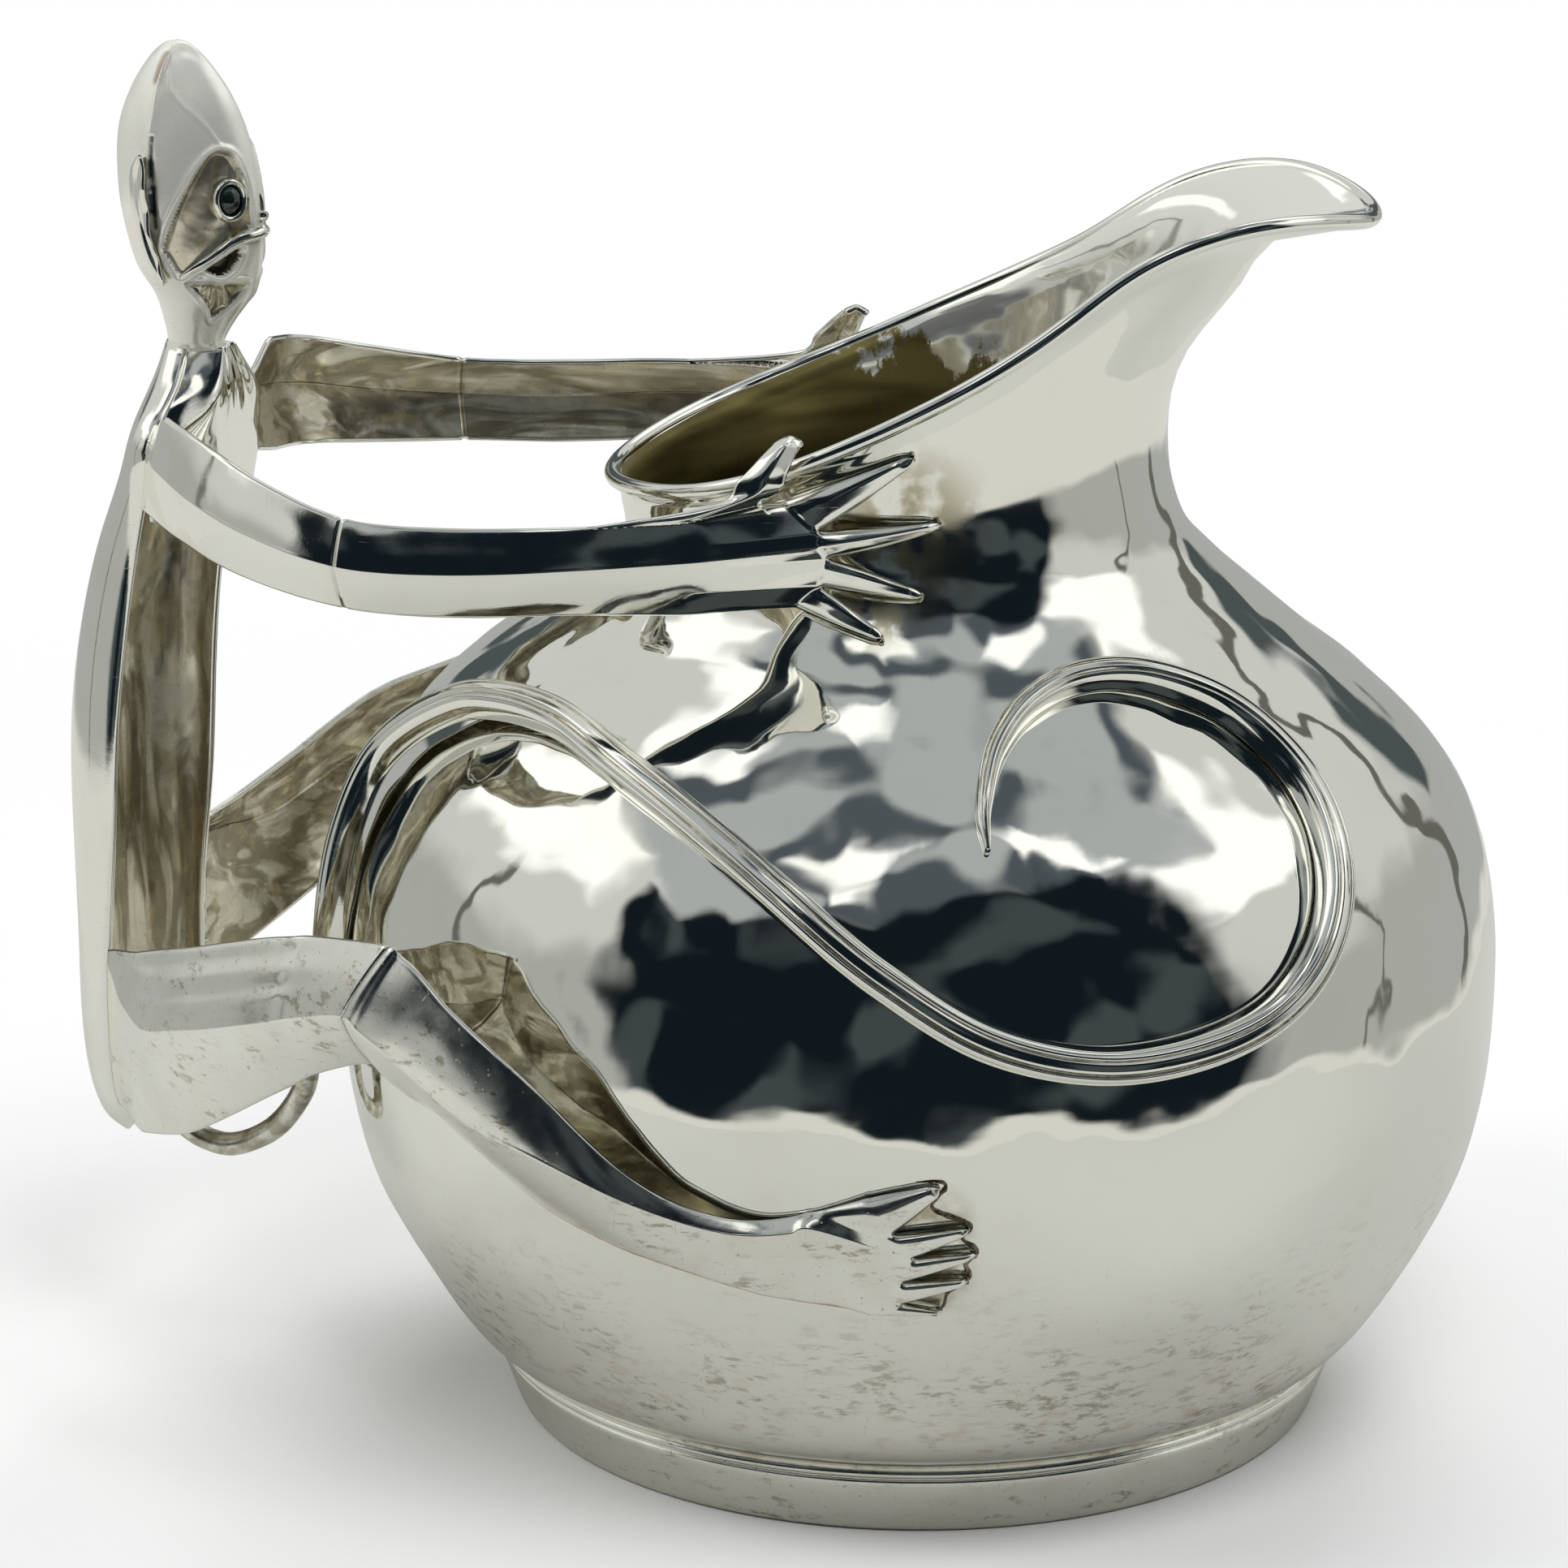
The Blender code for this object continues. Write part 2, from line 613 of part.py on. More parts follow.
# ---- legs and feet -------------------------------------------------------------------
RIGHT_THIGH = [
    (-114.4, 15.85, 65.5, 39.5, 1.5), (-105, 28, 70.2, 42.8, 4), (-98, 36, 73.6, 46.8, 5),
    (-86, 47, 79, 56, 5), (-76, 55, 83, 63.5, 4.5), (-71.2, 59, 84.6, 66.8, 4),
]
LEFT_THIGH = [
    (-107, 16.3, 76.5, 53, 1.5), (-99, 31, 80.8, 57.5, 4), (-88, 44, 87.8, 65, 5),
    (-77, 54, 90.4, 71.0, 4.5), (-72.0, 58.2, 90.4, 73.2, 4),
]
FOOT_COLUMNS = 11

# angle, height and stand-off of the raised upper edge, then of the soldered lower edge
SHIN = [
    (-138.0, 85.0, 13.0, -140.6, 67.0, 9.5), (-131.0, 80.5, 13.0, -135.5, 62.5, 5.5),
    (-124.8, 75.5, 12.5, -131.0, 57.8, SKIN), (-117.8, 69.5, 12.0, -124.0, 54.5, SKIN),
    (-113.0, 65.7, 11.5, -118.5, 51.3, SKIN), (-106.6, 59.9, 9.0, -110.5, 47.8, SKIN),
    (-103.0, 57.5, 6.5, -105.5, 46.0, SKIN), (-98.5, 56.0, 4.3, -101.0, 44.3, SKIN),
    (-93.2, 56.4, 3.6, -95.5, 43.0, SKIN),
]
SHIN_BULGE = 2.2
SHIN_STATIONS = 13
# the left knee is raised by this much, and stands off the jug by a share of it
LEFT_KNEE_RISE = 5.5
KNEE_RISE_OUTWARDS = 0.35
TOE_ROOTS = [(-88.5, 58.6), (-86.1, 54.0), (-84.6, 50.9), (-85.7, 47.5), (-86.2, 43.9), (-88.0, 41.8)]
TOE_TIPS = [(-81.8, 60.6), (-79.5, 55.0), (-78.6, 51.2), (-78.8, 47.1), (-81.3, 42.6)]


def add_thigh(name, side, stations, material):
    rows = limb_sections(stations, side, 10, FOOT_COLUMNS)
    add_sheet(name, rows, material, flip=side > 0)


def add_shin(name, side, knee_rise, material):
    """Shin and foot: lower edge soldered to the belly, upper edge standing off it."""
    rows = []
    for i, (top_angle, top, top_off, low_angle, low, low_off) in enumerate(smooth(SHIN, SHIN_STATIONS)):
        rise = knee_rise * max(0, 1 - 2 * i / (SHIN_STATIONS - 1)) ** 1.5
        top += rise
        low += rise
        top_off += KNEE_RISE_OUTWARDS * rise
        row = []
        for j in range(FOOT_COLUMNS):
            v = j / (FOOT_COLUMNS - 1)
            off = top_off + v * (low_off - top_off) + SHIN_BULGE * math.sin(math.pi * v)
            spot = on_jug(top_angle + v * (low_angle - top_angle), top + v * (low - top), off)
            row.append(spot * np.array([1, -side, 1]))
        rows.append(row)
    knuckles = []
    for k, (angle, height) in enumerate(between(TOE_ROOTS, 2)):
        spot = on_jug(angle, height, SKIN + (KNUCKLE_CREST if k % 2 else KNUCKLE_VALLEY))
        knuckles.append(spot * np.array([1, -side, 1]))
    rows.append(knuckles)
    points = flatten(rows)
    faces = grid_faces(len(rows), FOOT_COLUMNS)
    add_digits(points, faces, TOE_ROOTS, len(points) - FOOT_COLUMNS, TOE_TIPS, side, TOE_CREASE)
    add_object(name, points, flipped(faces) if side > 0 else faces, material, SHEET)


# ---- tail ----------------------------------------------------------------------------
TAIL_WIRE = [
    (-108.0, -7, 37.6), (-104.0, -8, 35.0), (-98.7, -10, 34.8), (-92.3, -12, 38.4), (-87.8, -14, 44.6),
    (-86.0, -16.5, 50.5), (-84.6, -19, 57.0),
]
# angle, height, width of the band, stand-off of its crest
TAIL_BAND = [
    (-164.5, 60, 3.8, 4.6), (-162, 72, 5, 4.8), (-161.3, 88, 5.2, 5.6), (-160.5, 98.5, 5.2, 6.2),
    (-154, 106, 5.2, 6.0), (-145, 109, 5.2, 5.6), (-132.4, 109.6, 5.2, 5.0), (-119.2, 107, 5.2, 4.6),
    (-107.8, 102.8, 5.2, 4.4), (-97.9, 96.8, 5.2, 4.4), (-87.2, 87.6, 5.2, 4.4), (-77.5, 79.8, 5.2, 4.4),
    (-67.5, 76, 5, 4.4), (-57.7, 76.2, 5, 4.4), (-49, 79.2, 4.8, 4.4), (-42, 85.6, 4.8, 4.4),
    (-36.6, 95, 4.8, 4.4), (-33.6, 104.6, 4.6, 4.2), (-36.4, 112.2, 4.4, 4.2), (-45.4, 116.9, 4.2, 4.0),
    (-56.2, 117.9, 4, 3.8), (-65.8, 115.8, 3.6, 3.6), (-72.4, 111.6, 3.2, 3.4), (-75.4, 106.3, 2.6, 3.2),
    (-75.8, 102.6, 1.8, 3.0),
]
BAND_DEPTH = 4.0
# share of the half width and of the rise from the band's edges to its crest
BAND_SECTION = [(-1, 0), (-0.72, 0.8), (0, 1), (0.72, 0.8), (1, 0)]


def add_tail_wire(material):
    add_solid("tail_wire", sweep_circle(smooth(TAIL_WIRE, 18), TAIL_WIRE_RADIUS), material)


def add_tail_band(material):
    """Raised channel laid over the belly as an S that ends in a curl."""
    stations = smooth(TAIL_BAND, 76)
    foot = [on_jug(angle, height, 0) for angle, height, _, _ in stations]
    rows = []
    for i, (angle, height, width, crest) in enumerate(stations):
        along = unit(foot[min(i + 1, len(foot) - 1)] - foot[max(i - 1, 0)])
        normal = unit(on_jug(angle, height, 1) - foot[i])
        across = np.cross(normal, along)
        edge = max(crest - BAND_DEPTH, THIN_SHEET)
        row = []
        for lateral, rise in BAND_SECTION:
            row.append(foot[i] + lateral * width / 2 * across + (edge + rise * (crest - edge)) * normal)
        rows.append(row)
    add_sheet("tail_band", rows, material, THIN_SHEET)


# ---- the whole pitcher ---------------------------------------------------------------
def clear_scene():
    for body in list(bpy.data.objects):
        bpy.data.objects.remove(body, do_unlink=True)


def centre_footprint():
    """Move the whole pitcher so that the origin lies under the middle of its outline."""
    graph = bpy.context.evaluated_depsgraph_get()
    corners = []
    for body in bpy.data.objects:
        corners.extend(tuple(corner) for corner in body.evaluated_get(graph).bound_box)
    corners = np.array(corners)
    middle = (corners.min(axis=0) + corners.max(axis=0)) / 2
    for body in bpy.data.objects:
        body.location = (-middle[0], -middle[1], 0)
    bpy.context.view_layer.update()


def build():
    clear_scene()
    hammered = metal("hammered_silver", (0.90, 0.89, 0.86), 0.08)
    polished = metal("polished_silver", (0.92, 0.91, 0.88), 0.05)
    satin = metal("satin_silver", (0.86, 0.84, 0.79), 0.28)
    stone = metal("black_stone", (0.01, 0.02, 0.02), 0.08, metallic=0.0)
    add_vessel(hammered)
    add_rim(polished)
    add_foot_ring(satin)
    add_torso(polished)
    add_chest_plate(polished)
    add_head(polished)
    add_nose(polished)
    add_muzzle(polished)
    add_tail_wire(satin)
    add_tail_band(polished)
    for suffix, side, eye, shoulder, thigh, knee_rise in [
            ("right", -1, RIGHT_EYE, RIGHT_SHOULDER, RIGHT_THIGH, 0),
            ("left", 1, LEFT_EYE, LEFT_SHOULDER, LEFT_THIGH, LEFT_KNEE_RISE)]:
        add_ear("ear_" + suffix, side, polished)
        add_eye(side, suffix, eye, polished, stone)
        add_arm("upper_arm_" + suffix, side, shoulder, polished)
        add_hand("forearm_hand_" + suffix, side, polished)
        add_thigh("thigh_" + suffix, side, thigh, satin)
        add_shin("shin_foot_" + suffix, side, knee_rise, satin)
    centre_footprint()


build()
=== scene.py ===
"""Finished surfaces for the silver water pitcher with a monkey handle.

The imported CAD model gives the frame: the foot ring's box gives the jug's axis. Everything
here is modelled in millimetres about that axis, with the spout along +X and the monkey at
-X, and make_piece turns it into metres in the frame. Every piece is soldered to the next,
so all of them ride on the one body, "root".
"""
import math

import bpy
import numpy as np
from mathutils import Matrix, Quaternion, Vector, noise


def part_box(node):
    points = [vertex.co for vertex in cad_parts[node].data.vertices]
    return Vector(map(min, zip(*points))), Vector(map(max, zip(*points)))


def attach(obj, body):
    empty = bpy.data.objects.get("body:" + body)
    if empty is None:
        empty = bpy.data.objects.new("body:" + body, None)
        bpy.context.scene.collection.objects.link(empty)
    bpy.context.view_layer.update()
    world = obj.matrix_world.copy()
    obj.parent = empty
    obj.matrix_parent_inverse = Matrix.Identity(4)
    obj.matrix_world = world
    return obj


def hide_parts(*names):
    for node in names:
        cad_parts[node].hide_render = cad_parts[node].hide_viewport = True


MM = 0.001
BODY = "root"

# ---- driving dimensions, in millimetres ------------------------------------------------
WALL = 1.5
SHEET = 0.9
TORSO_SHEET = 1.1
RIM_WIRE_RADIUS = 1.15
TAIL_WIRE_RADIUS = 1.7

# outside of the jug: radius and height
FLOOR_OUTLINE = [(0.02, 5.5), (12, 5.5), (30, 5.6), (44, 6.0), (53, 7.3), (58.6, 9.6)]
BELLY_OUTLINE = [(62.5, 11.6), (71.1, 22.0), (79.2, 38.0), (82.5, 56.0), (82.2, 74.0), (77.0, 92.0)]
SHOULDER_HEIGHT = 108.0
SHOULDER_RADIUS = 62.9
LEAN_START = 80.0
SHOULDER_LEAN = -1.4
SHOULDER_SLOPE = (-0.78, 0.62)
THROAT_X = -3.3
THROAT_RADIUS = 38.2
THROAT_WIDTH_SHARE = 0.96
THROAT_HEIGHT = 134.0
THROAT_TILT = 6.0
# centre of the rim wire: angle from the spout about the throat's axis, radius, height; mirrored in Y
MOUTH = [
    (0, 66.1, 174.4), (12, 62.3, 176.0), (24, 54.5, 176.4), (34, 46.6, 173.0), (46, 40.7, 166.2),
    (60, 39.0, 160.3), (90, 38.4, 150.2), (120, 39.6, 141.9), (150, 39.2, 137.7), (180, 39.9, 135.9),
]
JUG_COLUMNS = 300
JUG_ROWS = 160
# planishing marks left in the wall: depth and width of the broad and of the fine ones
BROAD_DENT = (0.42, 15.0)
FINE_DENT = (0.11, 5.5)

# foot ring: radius and height round its section, from the inner lower corner
FOOT_OUTLINE = [
    (52.5, 0.0), (57.2, 0.0), (58.1, 0.35), (58.6, 1.1), (59.5, 3.6), (60.5, 6.4), (61.1, 8.3),
    (60.8, 8.9), (61.4, 9.3), (61.9, 9.8), (61.7, 10.4), (60.9, 10.9), (59.4, 10.6), (58.2, 7.0),
    (56.2, 2.4), (52.6, 1.4),
]

# ---- the monkey ------------------------------------------------------------------------
MONKEY_YAW = math.radians(-14.0)
# height, x of the side edges, half width, depth of the back
TORSO_ROWS = [
    (34.4, -110.9, 9.2, 5.2), (36.2, -111.2, 11.2, 6.6), (40, -111.9, 13.2, 7.6), (50, -112.3, 15.3, 8.7),
    (64, -112.1, 15.6, 9.2), (82, -110.7, 16.2, 11.2), (99, -109.7, 16.2, 12.0),
    (115, -108.0, 15.5, 11.2), (125, -106.3, 15.5, 10.0), (136, -103.6, 17.0, 8.2),
    (143, -102.5, 16.0, 7.0), (148, -102.3, 9.5, 6.0), (152, -103.0, 4.6, 4.4),
]
# height, x of the middle, half depth
HEAD_ROWS = [
    (150.6, -103.0, 4.3), (152.5, -103.0, 4.1), (155.5, -102.4, 5.2), (159.5, -101.6, 7.2),
    (164, -102.3, 9.2), (170, -103.0, 10.4), (176, -103.5, 10.5), (182.6, -104.0, 9.6),
    (188, -104.2, 7.5), (192.5, -104.4, 4.5), (194.8, -104.5, 2.0), (195.4, -104.5, 0.05),
]
HEAD_WIDTH_SHARE = 0.9
# x, distance from the middle plane, heights of the top and bottom edges, bulge, share where it creases
RIGHT_SHOULDER = (-106.2, 18.6, 147.0, 131.0, 1.5, 0.42)
LEFT_SHOULDER = (-98.4, 18.8, 148.0, 131.5, 2.5, 0.42)
ARM = [
    (-95, 33, 145.5, 129.4, 3.0, 0.45), (-85, 41, 142.2, 128, 3.0, 0.48), (-72.1, 47.5, 139.2, 127, 2.8, 0.48),
    (-58, 49.2, 138.9, 126.8, 2.5, 0.47), (-42, 49.2, 139.5, 127.6, 2.4, 0.44), (-27, 46.0, 140, 127.3, 2.2, 0.40),
]
ARM_TOP_SHARE = 0.15
RIGHT_THIGH = [
    (-114.4, 17.6, 65.5, 39.5, 1.5, 0.08), (-105, 28, 70.2, 42.8, 4, 0.38), (-98, 36, 73.6, 46.8, 5, 0.42),
    (-86, 47, 79, 56, 5, 0.50), (-77, 54, 82.0, 62.5, 5, 0.54),
]
LEFT_THIGH = [
    (-107, 18.2, 76.5, 53, 1.5, 0.10), (-99, 31, 80.8, 57.5, 4, 0.38), (-88, 44, 87.8, 65, 5, 0.46),
    (-79, 52.4, 90.2, 70, 4.6, 0.54),
]
# angle and height round the neck: the palm's edge at the finger roots, then the tips
FINGER_ROOTS = [(-106, 142), (-98.8, 138.2), (-96.6, 133.6), (-97.8, 128.9), (-103, 126)]
FINGER_TIPS = [(-80.5, 147.8), (-75.1, 138.2), (-79.2, 128.4), (-87.1, 123.2)]
THUMB = [
    [(-22.6, 44.8, 142.4), (-18.4, 44.4, 143.3), (-14.3, 42.9, 144.0)],
    [(-19.5, 43.9, 145.5), (-16.6, 43.8, 146.0), (-13.5, 42.5, 146.2)],
    [(-17.0, 42.4, 148.2), (-15.0, 42.5, 148.6), (-12.6, 41.5, 148.3)],
    [(-15.4, 40.6, 149.8), (-13.7, 40.8, 150.3), (-11.9, 40.2, 149.8)],
    [(-14.9, 38.9, 150.0), (-13.4, 38.9, 150.6), (-11.9, 38.6, 149.9)],
]
# angle, height and stand-off of the raised upper edge, then of the soldered lower edge,
# then the share where it creases and how far the crease stands out
SHIN = [
    (-134.5, 82.4, 12.5, -139.0, 66.0, 8.5, 0.54, 5.4), (-131.0, 80.8, 11.5, -135.5, 62.5, 5.5, 0.53, 5.4),
    (-127.3, 77.6, 10.5, -133.0, 59.7, 2.5, 0.50, 5.4), (-121.5, 73.0, 9.0, -126.7, 54.3, 1.0, 0.46, 5.2),
    (-117.0, 68.5, 7.5, -121.0, 50.8, 1.0, 0.36, 4.2), (-111.3, 61.2, 5.0, -113.3, 47.8, 1.0, 0.22, 2.8),
    (-106.5, 57.0, 3.4, -106.3, 46.0, 1.0, 0.15, 1.8), (-101.5, 55.0, 2.2, -101.3, 44.6, 1.0, 0.13, 1.5),
    (-97.5, 55.0, 1.2, -98.2, 43.8, 1.0, 0.13, 1.6), (-93.0, 56.6, 0.8, -93.0, 43.2, 1.0, 0.13, 1.7),
]
LEFT_KNEE_RISE = 5.5
TOE_ROOTS = [(-88.5, 59.0), (-86.2, 53.8), (-84.5, 50.5), (-85.5, 47.0), (-85.5, 43.8), (-88.5, 42.2)]
TOE_TIPS = [(-82.0, 60.4), (-79.3, 54.5), (-78.6, 50.8), (-79.3, 47.0), (-81.7, 42.4)]
TAIL_WIRE = [
    (-108.0, -7, 37.6), (-104.0, -8, 35.0), (-98.7, -10, 34.8), (-92.3, -12, 38.4),
    (-87.8, -14, 44.6), (-86.0, -16.5, 50.5), (-84.2, -19.6, 59.0),
]
# angle, height, width of the band, stand-off of its crest
TAIL_BAND = [
    (-164.5, 59, 3.8, 4.6), (-162, 72, 5, 4.8), (-161.3, 88, 5.2, 5.6), (-160.5, 98.5, 5.2, 6.2),
    (-154, 106, 5.2, 6.0), (-145, 109, 5.2, 5.6), (-132.4, 109.6, 5.2, 5.0), (-119.2, 107, 5.2, 4.6),
    (-107.8, 102.8, 5.2, 4.4), (-97.9, 96.8, 5.2, 4.4), (-87.2, 87.6, 5.2, 4.4), (-77.5, 79.8, 5.2, 4.4),
    (-67.5, 76, 5, 4.4), (-57.7, 76.2, 5, 4.4), (-49, 79.2, 4.8, 4.4), (-42, 85.6, 4.8, 4.4),
    (-36.6, 95, 4.8, 4.4), (-33.6, 104.6, 4.6, 4.2), (-36.4, 112.2, 4.4, 4.2), (-45.4, 116.9, 4.2, 4.0),
    (-56.2, 117.9, 4, 3.8), (-65.8, 115.8, 3.6, 3.6), (-72.4, 111.6, 3.0, 3.4), (-75.4, 106.3, 2.2, 3.0),
    (-75.8, 102.0, 0.8, 1.6),
]
BAND_DEPTH = 4.0


# ---- curves ----------------------------------------------------------------------------
def smooth(rows, count):
    """Sample a Catmull-Rom curve through rows (numbers, or whole rows of points) at even steps."""
    rows = np.array(rows, dtype=float)
    padded = np.concatenate([[2 * rows[0] - rows[1]], rows, [2 * rows[-1] - rows[-2]]])
    samples = []
    for u in np.linspace(0, len(rows) - 1, count):
        i = min(int(u), len(rows) - 2)
        t = u - i
        before, start, end, after = padded[i:i + 4]
        slope = end - before
        bend = 2 * before - 5 * start + 4 * end - after
        twist = 3 * start - before - 3 * end + after
        samples.append(0.5 * (2 * start + slope * t + bend * t ** 2 + twist * t ** 3))
    return np.array(samples)


def spline(places, values, at):
    """Natural cubic spline through values (places x anything), read at the places in at."""
    places = np.asarray(places, dtype=float)
    values = np.asarray(values, dtype=float)
    n = len(places)
    gaps = np.diff(places)
    system = np.eye(n)
    right = np.zeros_like(values)
    for i in range(1, n - 1):
        system[i, i - 1] = gaps[i - 1]
        system[i, i] = 2 * (gaps[i - 1] + gaps[i])
        system[i, i + 1] = gaps[i]
        right[i] = 6 * ((values[i + 1] - values[i]) / gaps[i] - (values[i] - values[i - 1]) / gaps[i - 1])
    bends = np.linalg.solve(system, right.reshape(n, -1)).reshape(values.shape)
    i = np.clip(np.searchsorted(places, at) - 1, 0, n - 2)
    shape = (-1,) + (1,) * (values.ndim - 1)
    gap = gaps[i].reshape(shape)
    t = (np.asarray(at) - places[i]).reshape(shape)
    rest = gap - t
    line = values[i] * rest / gap + values[i + 1] * t / gap
    return line + (bends[i] * (rest ** 3 / gap - gap * rest) + bends[i + 1] * (t ** 3 / gap - gap * t)) / 6


def unit(vectors):
    vectors = np.asarray(vectors, dtype=float)
    return vectors / np.maximum(np.linalg.norm(vectors, axis=-1, keepdims=True), 1e-9)


def ramp(value, start, end):
    """Smooth step from 0 at start to 1 at end."""
    t = np.clip((np.asarray(value, dtype=float) - start) / (end - start), 0, 1)
    return t * t * (3 - 2 * t)


def fold(share, crest, start=0.0):
    """Bulge to 1 at a soft crease that lies at crest, from start at share 0 and 0 at share 1."""
    rising = share / crest
    falling = (1 - share) / (1 - crest)
    tent = np.minimum(rising, falling)
    rounded = 0.72 * tent + 0.28 * tent * (2 - tent)
    return np.where(rising < falling, start + (1 - start) * rounded, rounded)


def wobble(points, size, seed):
    """Smooth noise between about -1 and 1 at points, with bumps about size wide."""
    shift = Vector((seed * 17.3, seed * 5.1, seed * 9.7))
    flat = np.asarray(points).reshape(-1, 3) / size
    values = [noise.noise(Vector(p) + shift) for p in flat]
    return np.array(values).reshape(np.asarray(points).shape[:-1])


# ---- the jug's outside -----------------------------------------------------------------
def mouth_points(angles):
    """Centre of the rim wire at angles, in degrees, about the throat's axis."""
    table = np.array(MOUTH, dtype=float)
    mirrored = np.vstack([table[3:0:-1] * (-1, 1, 1), table, table[-2:-5:-1] * (-1, 1, 1) + (360, 0, 0)])
    turn = np.abs((angles + 180) % 360 - 180)
    radius, height = spline(mirrored[:, 0], mirrored[:, 1:], turn).T
    a = np.radians(angles)
    return np.stack([THROAT_X + radius * np.cos(a), radius * np.sin(a), height], -1)


def ring(radius, height, angles, centre=0.0, width_share=1.0):
    a = np.radians(angles)
    heights = np.broadcast_to(height, a.shape)
    return np.stack([centre + radius * np.cos(a), width_share * radius * np.sin(a), heights], -1)


def jug_controls(angles):
    """Control points of the jug's outside from the foot to the lip, one column for each angle."""
    rows = []
    for radius, height in FLOOR_OUTLINE + BELLY_OUTLINE:
        share = max(0.0, (height - LEAN_START) / (SHOULDER_HEIGHT - LEAN_START))
        rows.append(ring(radius, height, angles, SHOULDER_LEAN * share ** 1.5))
    throat_height = THROAT_HEIGHT + THROAT_TILT * np.cos(np.radians(angles))
    start = ring(SHOULDER_RADIUS, SHOULDER_HEIGHT, angles, SHOULDER_LEAN)
    throat = ring(THROAT_RADIUS, throat_height, angles, THROAT_X, THROAT_WIDTH_SHARE)
    length = np.linalg.norm(throat - start, axis=-1, keepdims=True)
    leave = length * (SHOULDER_SLOPE[0] * ring(1, 0, angles) + np.array([0, 0, SHOULDER_SLOPE[1]]))
    arrive = length * np.array([0, 0, 1.0])
    for t in (0.22, 0.6):
        middle = (2 * t ** 3 - 3 * t ** 2 + 1) * start + (3 * t ** 2 - 2 * t ** 3) * throat
        rows.append(middle + (t ** 3 - 2 * t ** 2 + t) * leave + (t ** 3 - t ** 2) * arrive)
    reach = mouth_points(angles) - throat
    reach_length = np.linalg.norm(reach, axis=-1, keepdims=True)
    lip = 1 - RIM_WIRE_RADIUS / reach_length
    for turn in (0, 28, 55, 78, 90):
        a = math.radians(turn)
        rows.append(throat + lip * reach * np.array([1 - math.cos(a), 1 - math.cos(a), math.sin(a)]))
    return np.array(rows)


def jug_surface(angles, row_count):
    """Rows of points on the jug's outside, evenly spaced along its outline."""
    controls = jug_controls(angles)
    middle = len(angles) // 4
    steps = np.linalg.norm(np.diff(controls[:, middle], axis=0), axis=-1)
    places = np.concatenate([[0], np.cumsum(steps)])
    return spline(places, controls, np.linspace(0, places[-1], row_count))


TABLE_ANGLES = np.arange(0, 361, 1.0)
TABLE_HEIGHTS = np.arange(11.0, 178.0, 0.5)


def jug_table():
    """x and y of the jug's outside for every whole angle and every half millimetre of height."""
    surface = jug_surface(TABLE_ANGLES, 900)
    table = np.zeros((len(TABLE_ANGLES), len(TABLE_HEIGHTS), 2))
    for j in range(len(TABLE_ANGLES)):
        x, y, z = surface[:, j].T
        table[j, :, 0] = np.interp(TABLE_HEIGHTS, np.maximum.accumulate(z), x)
        table[j, :, 1] = np.interp(TABLE_HEIGHTS, np.maximum.accumulate(z), y)
    return table


JUG_TABLE = jug_table()


def jug_points(angle, height):
    """Outside of the jug at angles and heights."""
    angle, height = np.broadcast_arrays(np.asarray(angle, dtype=float), np.asarray(height, dtype=float))
    across = np.mod(angle, 360)
    upward = np.clip((height - TABLE_HEIGHTS[0]) / 0.5, 0, len(TABLE_HEIGHTS) - 2.001)
    i, j = across.astype(int), upward.astype(int)
    s, t = (across - i)[..., None], (upward - j)[..., None]
    low = JUG_TABLE[i, j] * (1 - s) + JUG_TABLE[i + 1, j] * s
    high = JUG_TABLE[i, j + 1] * (1 - s) + JUG_TABLE[i + 1, j + 1] * s
    flat = low * (1 - t) + high * t
    return np.concatenate([flat, height[..., None]], -1)


def on_jug(angle, height, stand_off):
    """Points that stand off the outside of the jug along its normal."""
    angle, height, stand_off = np.broadcast_arrays(
        np.asarray(angle, dtype=float), np.asarray(height, dtype=float), np.asarray(stand_off, dtype=float))
    across = jug_points(angle + 1.5, height) - jug_points(angle - 1.5, height)
    upward = jug_points(angle, height + 1.5) - jug_points(angle, height - 1.5)
    return jug_points(angle, height) + stand_off[..., None] * unit(np.cross(across, upward))


# ---- meshes ----------------------------------------------------------------------------
def jug_axis_x():
    low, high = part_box("foot_ring")
    return (low[0] + high[0]) / 2 / MM


def make_piece(name, points, faces, materials, nodes, slot, face_slots=None, soft=None):
    """Shown mesh piece from points in millimetres about the jug's axis, standing for CAD nodes."""
    mesh = bpy.data.meshes.new(name)
    placed = (np.asarray(points) + (jug_axis_x(), 0, 0)) * MM
    mesh.from_pydata(placed.tolist(), [], [tuple(face) for face in faces])
    for material in materials:
        mesh.materials.append(material)
    if face_slots is not None:
        mesh.polygons.foreach_set("material_index", np.asarray(face_slots, dtype=np.int32))
    mesh.shade_smooth()
    if soft is not None:
        mesh.polygons.foreach_set("use_smooth", soft)
    mesh.update()
    piece = bpy.data.objects.new(name, mesh)
    bpy.context.collection.objects.link(piece)
    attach(piece, BODY)
    if nodes:
        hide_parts(*nodes)
    return piece


def grid_faces(rows, columns, wrap_columns=False, wrap_rows=False):
    """Quads of a grid of points stored row by row."""
    i, j = np.meshgrid(np.arange(rows if wrap_rows else rows - 1),
                       np.arange(columns if wrap_columns else columns - 1), indexing="ij")
    i, j = i.ravel(), j.ravel()
    ahead, below = (j + 1) % columns, (i + 1) % rows
    return np.stack([i * columns + j, i * columns + ahead, below * columns + ahead, below * columns + j], -1)


def vertex_normals(points, quads):
    corners = points[quads]
    face_normals = np.cross(corners[:, 2] - corners[:, 0], corners[:, 3] - corners[:, 1])
    normals = np.zeros_like(points)
    for k in range(4):
        np.add.at(normals, quads[:, k], face_normals)
    return unit(normals), unit(face_normals)


